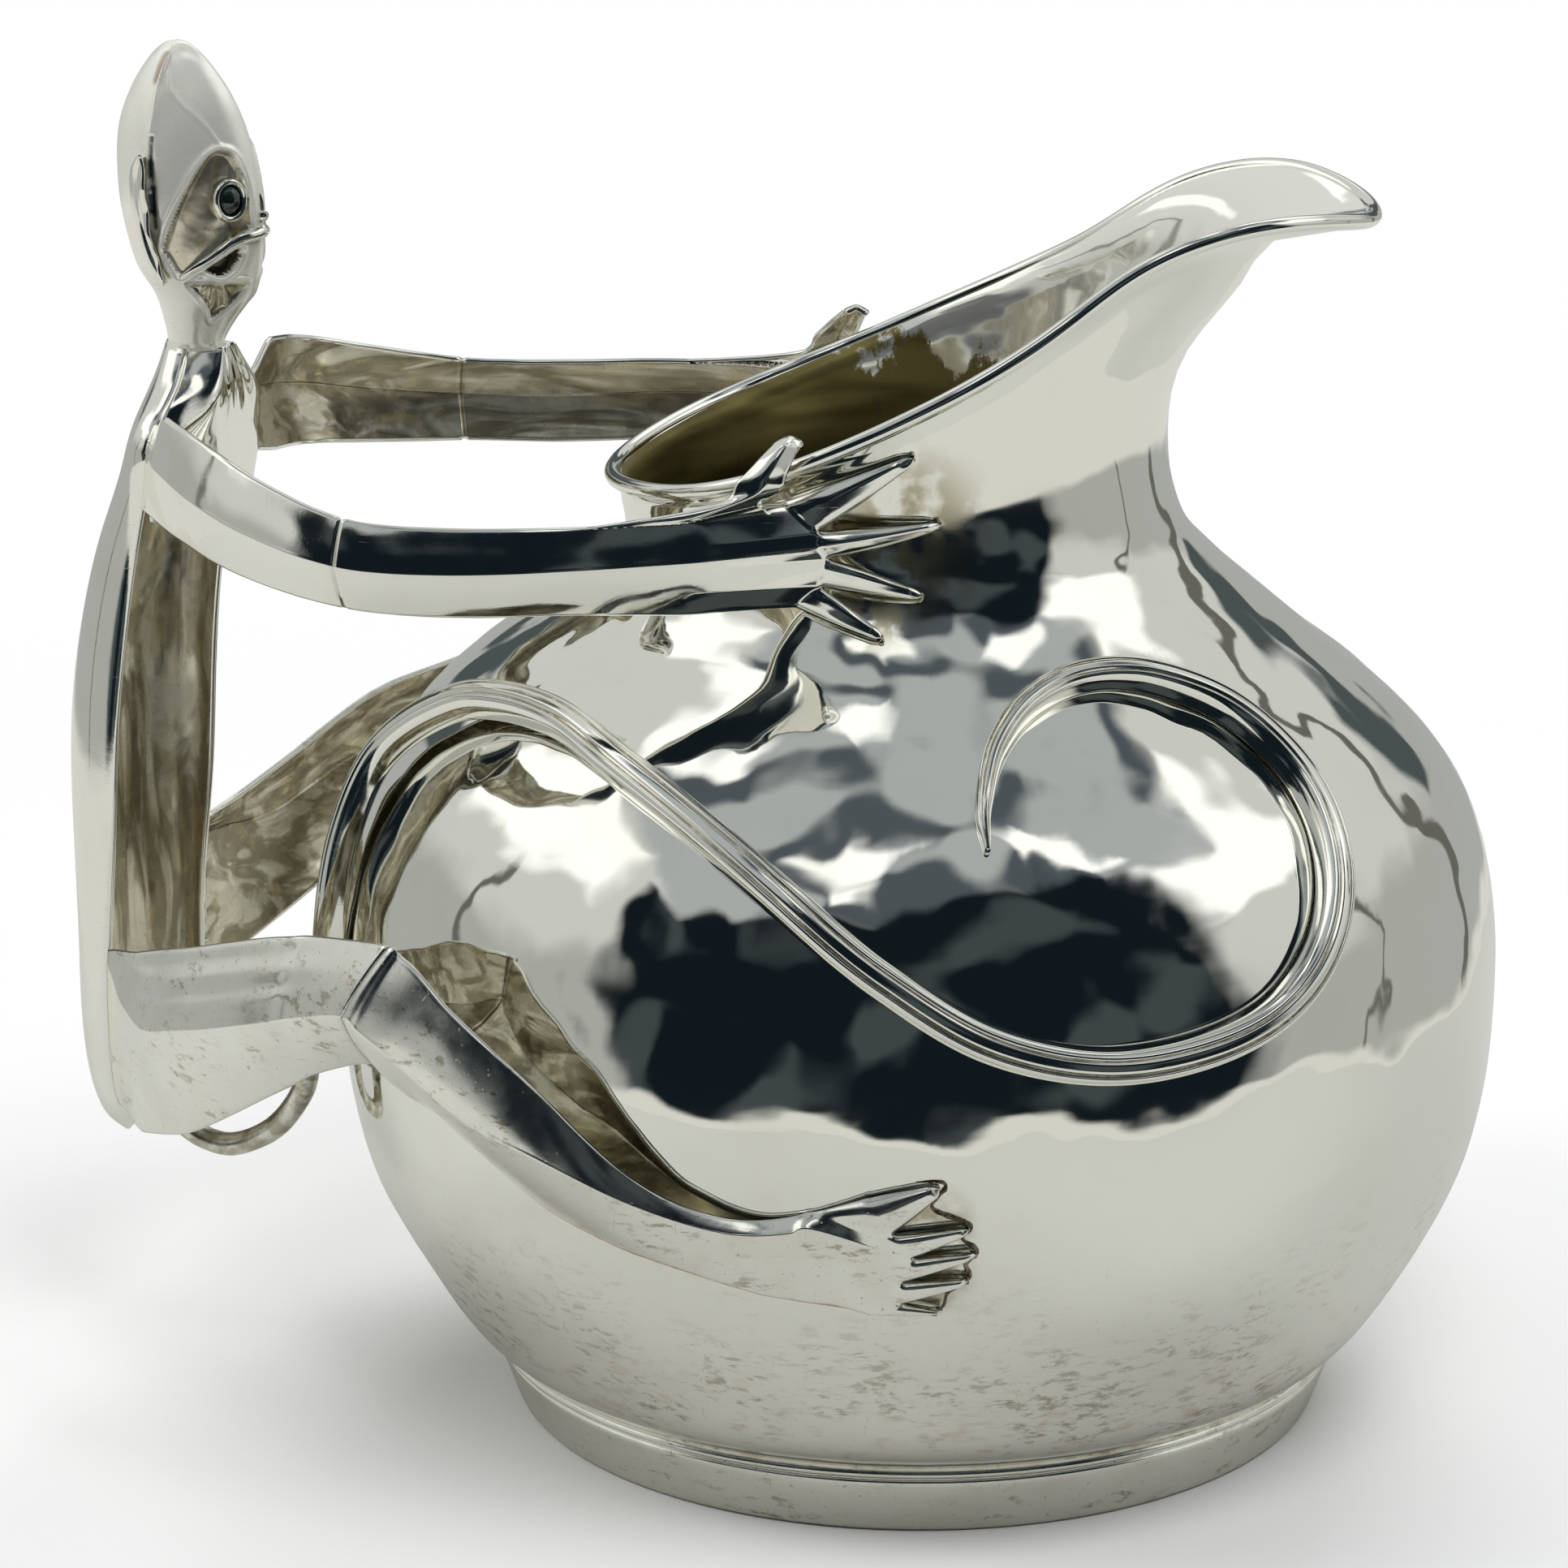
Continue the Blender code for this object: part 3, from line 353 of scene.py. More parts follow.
def border_edges(quads):
    """Directed edges, and their faces, that have no neighbour on their other side."""
    edges = np.concatenate([quads[:, [k, (k + 1) % 4]] for k in range(4)])
    owners = np.tile(np.arange(len(quads)), 4)
    known = set(map(tuple, edges.tolist()))
    keep = [i for i, (a, b) in enumerate(edges.tolist()) if (b, a) not in known]
    return edges[keep], owners[keep]


def thicken(points, quads, thickness, square=()):
    """Closed sheet under an open surface, with half-round edges: points, faces, slots and softness.

    Slot 0 is the outside and the edges, slot 1 the inside. Edges between two of the square
    points are cut off square and shaded flat, where two sheets meet end to end.
    """
    points = np.asarray(points, dtype=float)
    normals, face_normals = vertex_normals(points, quads)
    edges, owners = border_edges(quads)
    lateral = np.zeros_like(points)
    outwards = np.cross(unit(points[edges[:, 1]] - points[edges[:, 0]]), face_normals[owners])
    np.add.at(lateral, edges[:, 0], outwards)
    np.add.at(lateral, edges[:, 1], outwards)
    lateral = unit(lateral)
    square = set(square)
    lateral[list(square)] = 0
    border = np.unique(edges)
    lateral = lateral[border]
    upward = normals[border]
    middle = points[border] - thickness / 2 * upward
    layers = [points, points - thickness * normals]
    where = []
    start = 2 * len(points)
    for turn in (45, 90, 135):
        a = math.radians(turn)
        layers.append(middle + thickness / 2 * (math.cos(a) * upward + math.sin(a) * lateral))
        where.append(dict(zip(border.tolist(), range(start, start + len(border)))))
        start += len(border)
    faces = quads.tolist() + (quads[:, ::-1] + len(points)).tolist()
    slots = [0] * len(quads) + [1] * len(quads)
    soft = [True] * len(faces)
    for a, b in edges.tolist():
        chain = [(a, b)] + [(ring[a], ring[b]) for ring in where] + [(a + len(points), b + len(points))]
        for (a0, b0), (a1, b1) in zip(chain, chain[1:]):
            faces.append((b0, a0, a1, b1))
            slots.append(0)
            soft.append(not (a in square and b in square))
    return np.concatenate(layers), faces, slots, soft


def sheet_piece(name, points, quads, materials, nodes, slot, thickness=SHEET, flip=False, square=()):
    quads = quads[:, ::-1] if flip else quads
    points, faces, slots, soft = thicken(points, quads, thickness, square)
    return make_piece(name, points, faces, materials, nodes, slot, slots, soft)


def grid_sheet(name, rows, materials, nodes, slot, thickness=SHEET, flip=False, square_end=False):
    """Sheet on a grid of points; its last row can be cut off square."""
    rows = np.asarray(rows)
    count, columns = rows.shape[:2]
    square = range((count - 1) * columns, count * columns) if square_end else ()
    quads = grid_faces(count, columns)
    return sheet_piece(name, rows.reshape(-1, 3), quads, materials, nodes, slot, thickness, flip, square)


def tube_rings(path, radii, sides, closed=False):
    """Rings of a round wire along a path; radii is one number or one for each point."""
    path = np.asarray(path, dtype=float)
    radii = np.broadcast_to(radii, len(path))
    if closed:
        along = unit(np.roll(path, -1, axis=0) - np.roll(path, 1, axis=0))
    else:
        along = unit(np.gradient(path, axis=0))
    side = unit(np.cross(along, (0, 0, 1.0)))
    upward = np.cross(side, along)
    a = np.linspace(0, 2 * np.pi, sides, endpoint=False)[None, :, None]
    return path[:, None] + radii[:, None, None] * (np.cos(a) * side[:, None] + np.sin(a) * upward[:, None])


def tube_piece(name, path, radii, sides, material, nodes, slot):
    """Round wire with domed ends."""
    path = np.asarray(path, dtype=float)
    radii = np.array(np.broadcast_to(radii, len(path)), dtype=float)
    first, last = unit(path[0] - path[1]), unit(path[-1] - path[-2])
    turns = np.radians([80, 60, 35])
    head = [path[0] + radii[0] * math.sin(t) * first for t in turns]
    tail = [path[-1] + radii[-1] * math.sin(t) * last for t in turns[::-1]]
    path = np.vstack([head, path, tail])
    radii = np.concatenate([radii[0] * np.cos(turns), radii, radii[-1] * np.cos(turns[::-1])])
    rings = tube_rings(path, radii, sides)
    faces = grid_faces(len(path), sides, wrap_columns=True).tolist()
    faces.append(tuple(range(sides))[::-1])
    faces.append(tuple(range((len(path) - 1) * sides, len(path) * sides)))
    return make_piece(name, rings.reshape(-1, 3), faces, [material], nodes, slot)


# ---- the jug ---------------------------------------------------------------------------
def dented(points):
    """Depth of the planishing marks at points on the jug."""
    broad = BROAD_DENT[0] * wobble(points, BROAD_DENT[1], 1)
    return broad + FINE_DENT[0] * wobble(points, FINE_DENT[1], 2)


def add_vessel(outside, inside):
    angles = np.linspace(0, 360, JUG_COLUMNS, endpoint=False)
    surface = jug_surface(angles, JUG_ROWS)
    quads = grid_faces(JUG_ROWS, JUG_COLUMNS, wrap_columns=True)
    points = surface.reshape(-1, 3)
    normals, _ = vertex_normals(points, quads)
    height = points[:, 2]
    calm = ramp(height, 9, 22) * (0.45 + 0.55 * ramp(height, 50, 85)) * (1 - 0.6 * ramp(height, 120, 150))
    points = points + (calm * dented(points))[:, None] * normals
    sheet_piece("vessel_body", points, quads, [outside, inside], ["vessel_shell"], "hammered_silver", WALL)


def add_mouth_wire(material):
    path = mouth_points(np.linspace(0, 360, 300, endpoint=False))
    sides = 16
    rings = tube_rings(path, RIM_WIRE_RADIUS, sides, closed=True)
    rings += 0.05 * wobble(rings, 9.0, 3)[..., None]
    faces = grid_faces(len(path), sides, wrap_columns=True, wrap_rows=True)
    make_piece("mouth_wire", rings.reshape(-1, 3), faces, [material], ["rim_wire"], "polished_silver")


def add_foot(material):
    outline = smooth(FOOT_OUTLINE + FOOT_OUTLINE[:1], 64)[:-1]
    a = np.linspace(0, 2 * np.pi, 240, endpoint=False)[:, None]
    rows = np.stack([outline[:, 0] * np.cos(a), outline[:, 0] * np.sin(a),
                     np.broadcast_to(np.maximum(outline[:, 1], 0), (240, len(outline)))], -1)
    flare = ramp(rows[..., 2], 1.5, 4) * (1 - ramp(rows[..., 2], 6, 8))
    outer = unit(rows * (1, 1, 0))
    rows = rows + (0.12 * flare * wobble(rows, 14.0, 4))[..., None] * outer
    faces = grid_faces(240, len(outline), wrap_columns=True, wrap_rows=True)[:, ::-1]
    make_piece("foot_ring_finished", rows.reshape(-1, 3), faces, [material], ["foot_ring"], "satin_silver")


# ---- torso and head --------------------------------------------------------------------
def monkey_points(x, forward, sideways, height):
    """Points in the monkey's own turned frame, whose middle line passes through x."""
    c, s = math.cos(MONKEY_YAW), math.sin(MONKEY_YAW)
    x, forward, sideways, height = np.broadcast_arrays(x, forward, sideways, height)
    return np.stack([x + forward * c - sideways * s, forward * s + sideways * c, height], -1)


def torso_rows(count, columns):
    """Rows of points over the back and sides of the trunk, with a faint spine."""
    sections = spline([row[0] for row in TORSO_ROWS], TORSO_ROWS, np.linspace(34.4, 152, count))
    a = np.radians(np.linspace(92, -92, columns))[None]
    height, middle, half_width, depth = (sections[:, k][:, None] for k in range(4))
    spine = 0.35 * np.exp(-(np.sin(a) / 0.09) ** 2)
    hem = height + 2.6 * np.sin(a) ** 6 * (1 - ramp(height, 34.4, 44))
    return monkey_points(middle, -(depth + spine) * np.cos(a), half_width * np.sin(a), hem)


def add_torso(outside, inside):
    """Sheet of the trunk, open towards the jug."""
    rows = torso_rows(150, 65)
    rows = rows + 0.10 * wobble(rows, 18.0, 5)[..., None] * unit(rows - rows.mean(axis=1, keepdims=True))
    grid_sheet("torso", rows, [outside, inside], ["torso_shell"], "polished_silver", TORSO_SHEET)


CHEST_ROWS = [(129.5, -100.6, 15.6), (134, -100.4, 15.8), (141, -99.8, 15.4), (145, -99.8, 12.8),
              (148.5, -100.2, 8.0), (151.6, -100.8, 4.4)]


def add_chest(outside, inside):
    """Plate across the front of the shoulders, with two folds at the base of the neck."""
    sections = smooth(CHEST_ROWS, 70)
    share = np.linspace(1, -1, 81)[None]
    height, middle, half_width = (sections[:, k][:, None] for k in range(3))
    folds = ramp(height, 139, 147) * (1.3 * np.exp(-((np.abs(share) - 0.5) / 0.2) ** 2)
                                      + 0.5 * np.exp(-((np.abs(share) - 0.08) / 0.1) ** 2))
    scoop = 0.5 * (1 - ramp(height, 129, 134))
    forward = 2.0 * (1 - share ** 2) - 2.2 * share ** 6 + folds - scoop
    rows = monkey_points(middle, forward, half_width * share, height)
    grid_sheet("chest", rows, [outside, inside], ["chest_plate"], "polished_silver", 0.8, flip=True)


HEAD_TABLE = smooth(HEAD_ROWS, 600)
# how much the sides of the head are two flat facets that meet in a ridge, and from which height up
FACET = 0.85
FACET_START = (161.0, 171.0)
FACET_POWER = 1.3


def head_sizes(height):
    """x of the head's middle and its half depth at heights."""
    return tuple(np.interp(height, HEAD_TABLE[:, 0], HEAD_TABLE[:, k]) for k in (1, 2))


def head_points(height, turn, stand_off=0.0):
    """Outside of the head at heights, turn degrees from the face towards its left."""
    height, turn = np.broadcast_arrays(np.asarray(height, dtype=float), np.asarray(turn, dtype=float))
    middle, half = head_sizes(height)
    half = np.maximum(half, 0.02)
    a = np.radians(turn)
    flat = FACET * ramp(height, *FACET_START)
    forward_share = np.minimum(np.abs(np.cos(a)), 1)
    side_share = (1 - flat) * np.abs(np.sin(a)) + flat * (1 - forward_share ** FACET_POWER) ** (1 / FACET_POWER)
    forward = (half * (1 + 0.045 * flat) + stand_off) * np.cos(a)
    sideways = np.sign(np.sin(a)) * (HEAD_WIDTH_SHARE * half * side_share + stand_off * np.abs(np.sin(a)))
    return monkey_points(middle, forward, sideways, height)


# Outlines on the right side of the head, as turn from the face and height; the left is its mirror
EYE_MASK = [(95, 167.2), (88, 170), (79, 173.4), (69, 176.6), (60, 179), (51, 180.6), (41, 181), (31, 180.2),
            (25, 178), (22, 175), (21, 171.5), (24, 168.9), (40, 167.6), (54, 165.9), (70, 164.2), (84, 163),
            (91, 164.6)]
MOUTH_SLIT = [(62, 164.3), (50, 165.8), (38, 166.9), (29, 166.9), (27, 165.6), (33, 164), (44, 163.1), (55, 163.4)]
CHIN_FACET = [(82, 161.8), (64, 162.6), (45, 162.2), (28, 162.3), (12, 161.4), (24, 158.9), (38, 157.3), (52, 156.2), (66, 158.6)]
LIP_LINE = [(88, 162.6), (76, 164), (62, 165.4), (50, 166.9), (40, 168), (24, 168.6)]
HOOD_LINE = [(84, 191.5), (80, 189.5), (70, 187.6), (62, 186.4), (54, 185), (49, 183.8), (42, 181.6)]
TEMPLE_RIDGE = [(90, 193.5), (94, 190), (94, 186), (96, 181), (98, 177.5), (101, 173)]
DEGREE_ACROSS_HEAD = 0.165


def to_head_plane(outline):
    """Outline points with the turn given as millimetres across the head."""
    return np.array(outline, dtype=float) * (DEGREE_ACROSS_HEAD, 1)


def line_distance(places, outline, closed=False):
    """Distance from places to a line of straight pieces."""
    corners = np.vstack([outline, outline[:1]]) if closed else outline
    nearest = np.full(places.shape[:-1], 1e9)
    for start, end in zip(corners, corners[1:]):
        run = end - start
        t = np.clip(((places - start) @ run) / (run @ run), 0, 1)
        nearest = np.minimum(nearest, np.linalg.norm(places - start - t[..., None] * run, axis=-1))
    return nearest


def inside_outline(places, outline):
    inside = np.zeros(places.shape[:-1], dtype=bool)
    for (x0, y0), (x1, y1) in zip(outline, np.roll(outline, -1, axis=0)):
        crosses = (y0 > places[..., 1]) != (y1 > places[..., 1])
        meet = x0 + (places[..., 1] - y0) * (x1 - x0) / (y1 - y0 if y1 != y0 else 1e-9)
        inside ^= crosses & (places[..., 0] < meet)
    return inside


def depth_inside(places, outline):
    """Distance inside a rounded outline, negative outside it."""
    corners = to_head_plane(outline)
    outline = smooth(np.vstack([corners[-1:], corners, corners[:2]]), 6 * (len(corners) + 2) + 1)[6:-7]
    distance = line_distance(places, outline, closed=True)
    return np.where(inside_outline(places, outline), distance, -distance)


# fold in front of each ear: carved as a shallow groove, and its near-black colour is painted shade
SHADED_EAR_FOLD = [(93.5, 183), (95, 179.5), (96, 176), (97, 172.5), (98, 170.5)]


def head_relief(height, turn):
    """Height of the face's carving above the plain egg, and which parts are blackened."""
    places = np.stack([np.abs(turn) * DEGREE_ACROSS_HEAD, height], -1)
    mask = depth_inside(places, EYE_MASK)
    mouth = depth_inside(places, MOUTH_SLIT)
    chin = depth_inside(places, CHIN_FACET)
    lip = line_distance(places, to_head_plane(LIP_LINE))
    ridge = line_distance(places, to_head_plane(TEMPLE_RIDGE))
    hood = line_distance(places, to_head_plane(HOOD_LINE))
    relief = -1.0 * ramp(mask, -0.05, 0.75)
    relief += 0.45 * np.exp(-((mask + 0.35) / 0.35) ** 2)
    relief += 0.05 * ramp(mask, 0.3, 1.0) * np.cos(1.1 * places[..., 0] + 0.9 * places[..., 1])
    relief += 0.35 * np.exp(-((mouth + 0.3) / 0.3) ** 2) - 2.2 * ramp(mouth, -0.1, 0.9)
    relief += 0.25 * np.exp(-((chin + 0.25) / 0.3) ** 2) - 1.0 * ramp(chin, -0.1, 1.2)
    rays = np.cos(9 * np.arctan2(places[..., 1] - 163.5, places[..., 0] - 8.5))
    relief += 0.28 * ramp(chin, 0.2, 1.0) * rays
    relief += 0.25 * np.exp(-(lip / 0.5) ** 2)
    relief += 0.6 * np.exp(-(ridge / 0.6) ** 2)
    relief -= 0.35 * np.exp(-(line_distance(places, to_head_plane(SHADED_EAR_FOLD)) / 0.5) ** 2)
    relief += 0.12 * np.exp(-(hood / 0.35) ** 2)
    slots = np.where((mask > 0.1) | (chin > 0.35), 2, 0)
    slots = np.where(mouth > 0.1, 3, slots)
    return relief, slots


def add_head(outside, inside, hollow, dark):
    heights = np.concatenate([np.linspace(150.6, 190, 156), 190 + 5.4 * np.sin(np.linspace(0.03, 1, 34) * np.pi / 2)])
    turns = np.linspace(-180, 180, 260, endpoint=False)
    height, turn = np.meshgrid(heights, turns, indexing="ij")
    relief, marks = head_relief(height, turn)
    rows = head_points(height, turn)
    outwards = unit(rows - monkey_points(head_sizes(heights)[0], 0, 0, heights)[:, None])
    rows = rows + relief[..., None] * outwards
    quads = grid_faces(len(heights), len(turns), wrap_columns=True)
    points, faces, slots, _ = thicken(rows.reshape(-1, 3), quads, 0.8)
    slots = np.array(slots)
    owner = marks.ravel()[quads].min(axis=1)
    slots[:len(quads)] = owner
    make_piece("head", points, faces, [outside, inside, hollow, dark], ["head_shell"], "polished_silver", slots)


# height of the ear, its middle's turn from the face, half its width in degrees of turn
EAR_ROWS = [(162.4, 99, 2), (164.4, 101.5, 4.5), (168, 104.5, 7), (172, 106.5, 8.5), (176, 106.5, 9),
            (178.8, 104.5, 6.5), (180.2, 102.5, 2.2)]


def add_ear(name, node, side, outside, inside):
    """Leaf of sheet laid back along the head, its front edge lifted and its middle cupped."""
    sections = spline([row[0] for row in EAR_ROWS], EAR_ROWS, np.linspace(162.4, 180.2, 60))
    share = np.linspace(-1, 1, 25)[None]
    height, middle, half_width = (sections[:, k][:, None] for k in range(3))
    turn = side * (middle + half_width * share)
    lift = 1.0 + 0.9 * ramp(-share, -0.4, 1) - 0.55 * np.exp(-(share / 0.45) ** 2) * ramp(height, 162, 166)
    rows = head_points(height, turn, lift + 0.3 * np.sin(height * 0.9) * ramp(-share, 0, 1))
    grid_sheet(name, rows, [outside, inside], [node], "polished_silver", 0.6, flip=side < 0)


RIGHT_EYE = (174.0, 42)
LEFT_EYE = (175.0, 51)
EYE_TALLNESS = 1.22
EYE_TURN = 0.22
BEZEL_OUTLINE = [(2.25, -0.6), (2.6, 0.0), (2.6, 0.8), (2.35, 1.3), (2.0, 1.3), (1.75, 0.9), (1.7, 0.0), (1.7, -0.6)]
STONE_OUTLINE = [(1.7, -0.3), (1.68, 0.5), (1.5, 1.0), (1.15, 1.4), (0.7, 1.62), (0.25, 1.7), (0.02, 1.71)]


def add_eye(suffix, place, side, silver, stone):
    """Bezel ring round a black cabochon, seated in the hollow of the mask."""
    height, turn = place
    centre = head_points(height, side * turn, -0.3)
    across = unit(head_points(height, side * turn + 3, -0.3) - centre)
    outward = unit(np.cross(across, head_points(height + 1, side * turn, -0.3) - centre))
    outward = unit(outward + EYE_TURN * monkey_points(0, 1, 0, 0))
    across = unit(across - np.dot(across, outward) * outward)
    upward = np.cross(outward, across)
    a = np.linspace(0, 2 * np.pi, 48, endpoint=False)[None, :, None]
    for name, node, outline, material, slot, loop in [
            ("bezel_" + suffix, "eye_bezel_" + suffix, BEZEL_OUTLINE, silver, "polished_silver", True),
            ("stone_" + suffix, "eye_stone_" + suffix, STONE_OUTLINE, stone, "black_stone", False)]:
        outline = smooth(outline + outline[:1], 40)[:-1] if loop else smooth(outline, 30)
        radius, lift = outline[:, 0][:, None, None], outline[:, 1][:, None, None]
        rows = centre + radius * (np.cos(a) * across + EYE_TALLNESS * np.sin(a) * upward) + lift * outward
        faces = grid_faces(len(outline), 48, wrap_columns=True, wrap_rows=loop)
        make_piece(name, rows.reshape(-1, 3), faces.tolist(), [material], [node], slot)


def head_strip(name, node, height, turn, rise, material):
    """Low carving that grows out of the head's surface, closed at the back."""
    front = head_points(height, turn, rise)
    points, faces, _, _ = thicken(front.reshape(-1, 3), grid_faces(*height.shape), 0.3)
    make_piece(name, points, faces, [material], [node], "polished_silver")


def add_nose(material):
    """Two small beads under a short bridge."""
    height, turn = np.meshgrid(np.linspace(169.2, 176.5, 61), np.linspace(-17, 17, 61), indexing="ij")
    across = turn * DEGREE_ACROSS_HEAD
    beads = sum(np.sqrt(np.maximum(1 - ((across - x) / 0.9) ** 2 - ((height - 171.0) / 0.95) ** 2, 0))
                for x in (-0.95, 0.95))
    bridge = np.exp(-(across / 0.9) ** 2) * ramp(height, 170, 172) * (1 - ramp(height, 173, 176))
    head_strip("nose_beads", "nose", height, turn, 1.2 * beads + 0.8 * bridge - 0.4, material)


def add_lips(material):
    """Rounded upper lip that runs on as the lower rim of the eye hollows."""
    line = smooth([(-turn, height) for turn, height in LIP_LINE] + [(0, 168.8)]
                  + [(turn, height) for turn, height in reversed(LIP_LINE)], 141)
    across = np.linspace(-1, 1, 13)[None]
    taper = 1 - 0.75 * ramp(np.abs(line[:, :1]), 50, 88)
    height = line[:, 1:] + 0.75 * taper * across
    turn = np.broadcast_to(line[:, :1], height.shape)
    head_strip("lips", "muzzle", height, turn, 0.95 * taper * np.sqrt(1 - 0.99 * across ** 2) - 0.3, material)


# ---- arms and hands --------------------------------------------------------------------
CREST_SHARE = 0.36


CREASE_COLUMN_SHARE = 0.4
CREASE_EDGE = 0.06


def creased_shares(crest, columns):
    """Shares across a section, spaced so that one column runs along the crease, and that column's edge."""
    k = np.linspace(0, 1, columns)
    c = CREASE_COLUMN_SHARE
    v = np.where(k < c, k / c * crest, crest + (k - c) / (1 - c) * (1 - crest))
    return v, CREASE_EDGE * (np.arange(columns) == round(c * (columns - 1)))


def limb_rows(stations, side, count, columns, top_share=0.0):
    """Creased sections of a limb that is open towards the middle plane."""
    path = smooth(stations, count)
    along = unit(np.gradient(path[:, :2], axis=0))
    out = np.stack([-along[:, 1], along[:, 0]], -1)
    x, reach, top, bottom, bulge, crest = (path[:, k][:, None] for k in range(6))
    v, edge = creased_shares(crest, columns)
    swell = bulge * (0.2 * 4 * v * (1 - v) + 0.8 * fold(v, crest, top_share)) + edge
    height = top - (top - bottom) * v
    return np.stack([x + swell * out[:, :1], side * (reach + swell * out[:, 1:]), height], -1)


SEAT_ROWS = 8
SEAT_STAND_OFF = 0.35


def seated(rows):
    """Bend the first rows of a limb down onto the torso, where its end is soldered."""
    torso = torso_rows(480, 200).reshape(-1, 3)
    spots = np.array([torso[np.linalg.norm(torso - point, axis=-1).argmin()] for point in rows[0]])
    move = spots + SEAT_STAND_OFF * unit(rows[0] - spots) - rows[0]
    pull = 1 - ramp(np.arange(len(rows)), 0, SEAT_ROWS)
    return rows + pull[:, None, None] * move[None]


def between(ends, count):
    """Even steps through a list of (angle, height) corners, count steps to each side."""
    ends = np.array(ends, dtype=float)
    shares = np.linspace(0, 1, count, endpoint=False)[:, None]
    steps = [start + shares * (end - start) for start, end in zip(ends, ends[1:])]
    return np.vstack(steps + [ends[-1:]])


def roof(share, crest):
    """Section of a creased digit: 0 at both edges, 1 at its crest."""
    return np.minimum(share / crest, (1 - share) / (1 - crest))


def plate(share):
    """Section of a flat digit with rounded edges: 0 at both edges, 1 nearly everywhere between."""
    return np.sqrt(np.maximum(1 - np.abs(2 * share - 1) ** 5, 0))


def mirrored(points, side):
    return points * np.array([1.0, -side, 1.0])


DIGIT_EDGE = 0.15


def knuckle_edges(share, digits):
    """Rounding of a knuckle row at the outer edges of its first and last digits."""
    return plate(np.minimum(share * digits, 0.5)) * plate(np.minimum((1 - share) * digits, 0.5))


def add_digits(points, quads, first, roots, tips, per_digit, side, thickness, ridges, raised, lengths):
    """Grow a pointed strip from each digit's columns of the last row of a palm or a foot.

    Raised is how far each column of that row stands off the jug; the digits run down to it.
    """
    shares = np.linspace(0, 1, lengths)[1:]
    strips = []
    total = len(points)
    k = np.linspace(0, 1, per_digit + 1)
    for f, tip in enumerate(np.array(tips, dtype=float)):
        start, end = np.array(roots[f], dtype=float), np.array(roots[f + 1], dtype=float)
        middle = (start + end) / 2
        previous = np.arange(first + per_digit * f, first + per_digit * (f + 1) + 1)
        for share in shares:
            width = 0.97 - 0.72 * share ** 1.2
            if share > 0.88:
                width *= math.sqrt(max(0.04, 1 - ((share - 0.88) / 0.12) ** 2))
            spot = middle + share * (tip - middle) + (0.5 - k)[:, None] * width * (start - end)
            ridge = ridges[f] * ramp(share, -0.15, 0.3) * (1 - 0.5 * share)
            body = thickness * (1 - 0.35 * share) * plate(k) + ridge * roof(k, CREST_SHARE)
            own = raised[per_digit * f:per_digit * (f + 1) + 1] * (1 - share) ** 1.2
            lift = SHEET + DIGIT_EDGE + own + body * (1 - 0.8 * ramp(share, 0.86, 1.0))
            strip = mirrored(on_jug(spot[:, 0], spot[:, 1], lift), side)
            current = np.arange(total, total + per_digit + 1)
            total += per_digit + 1
            strips.append(strip)
            quads.append(np.stack([previous[:-1], previous[1:], current[1:], current[:-1]], -1))
            previous = current
    return np.vstack([points] + strips), quads


HAND_COLUMNS = 61
HAND_ROWS = 171
ELBOW_ROW = 68
PALM_RISE = 3.4
PALM_CREST = 0.36
FINGER_THICKNESS = 0.75
FINGER_RIDGE = 0.65


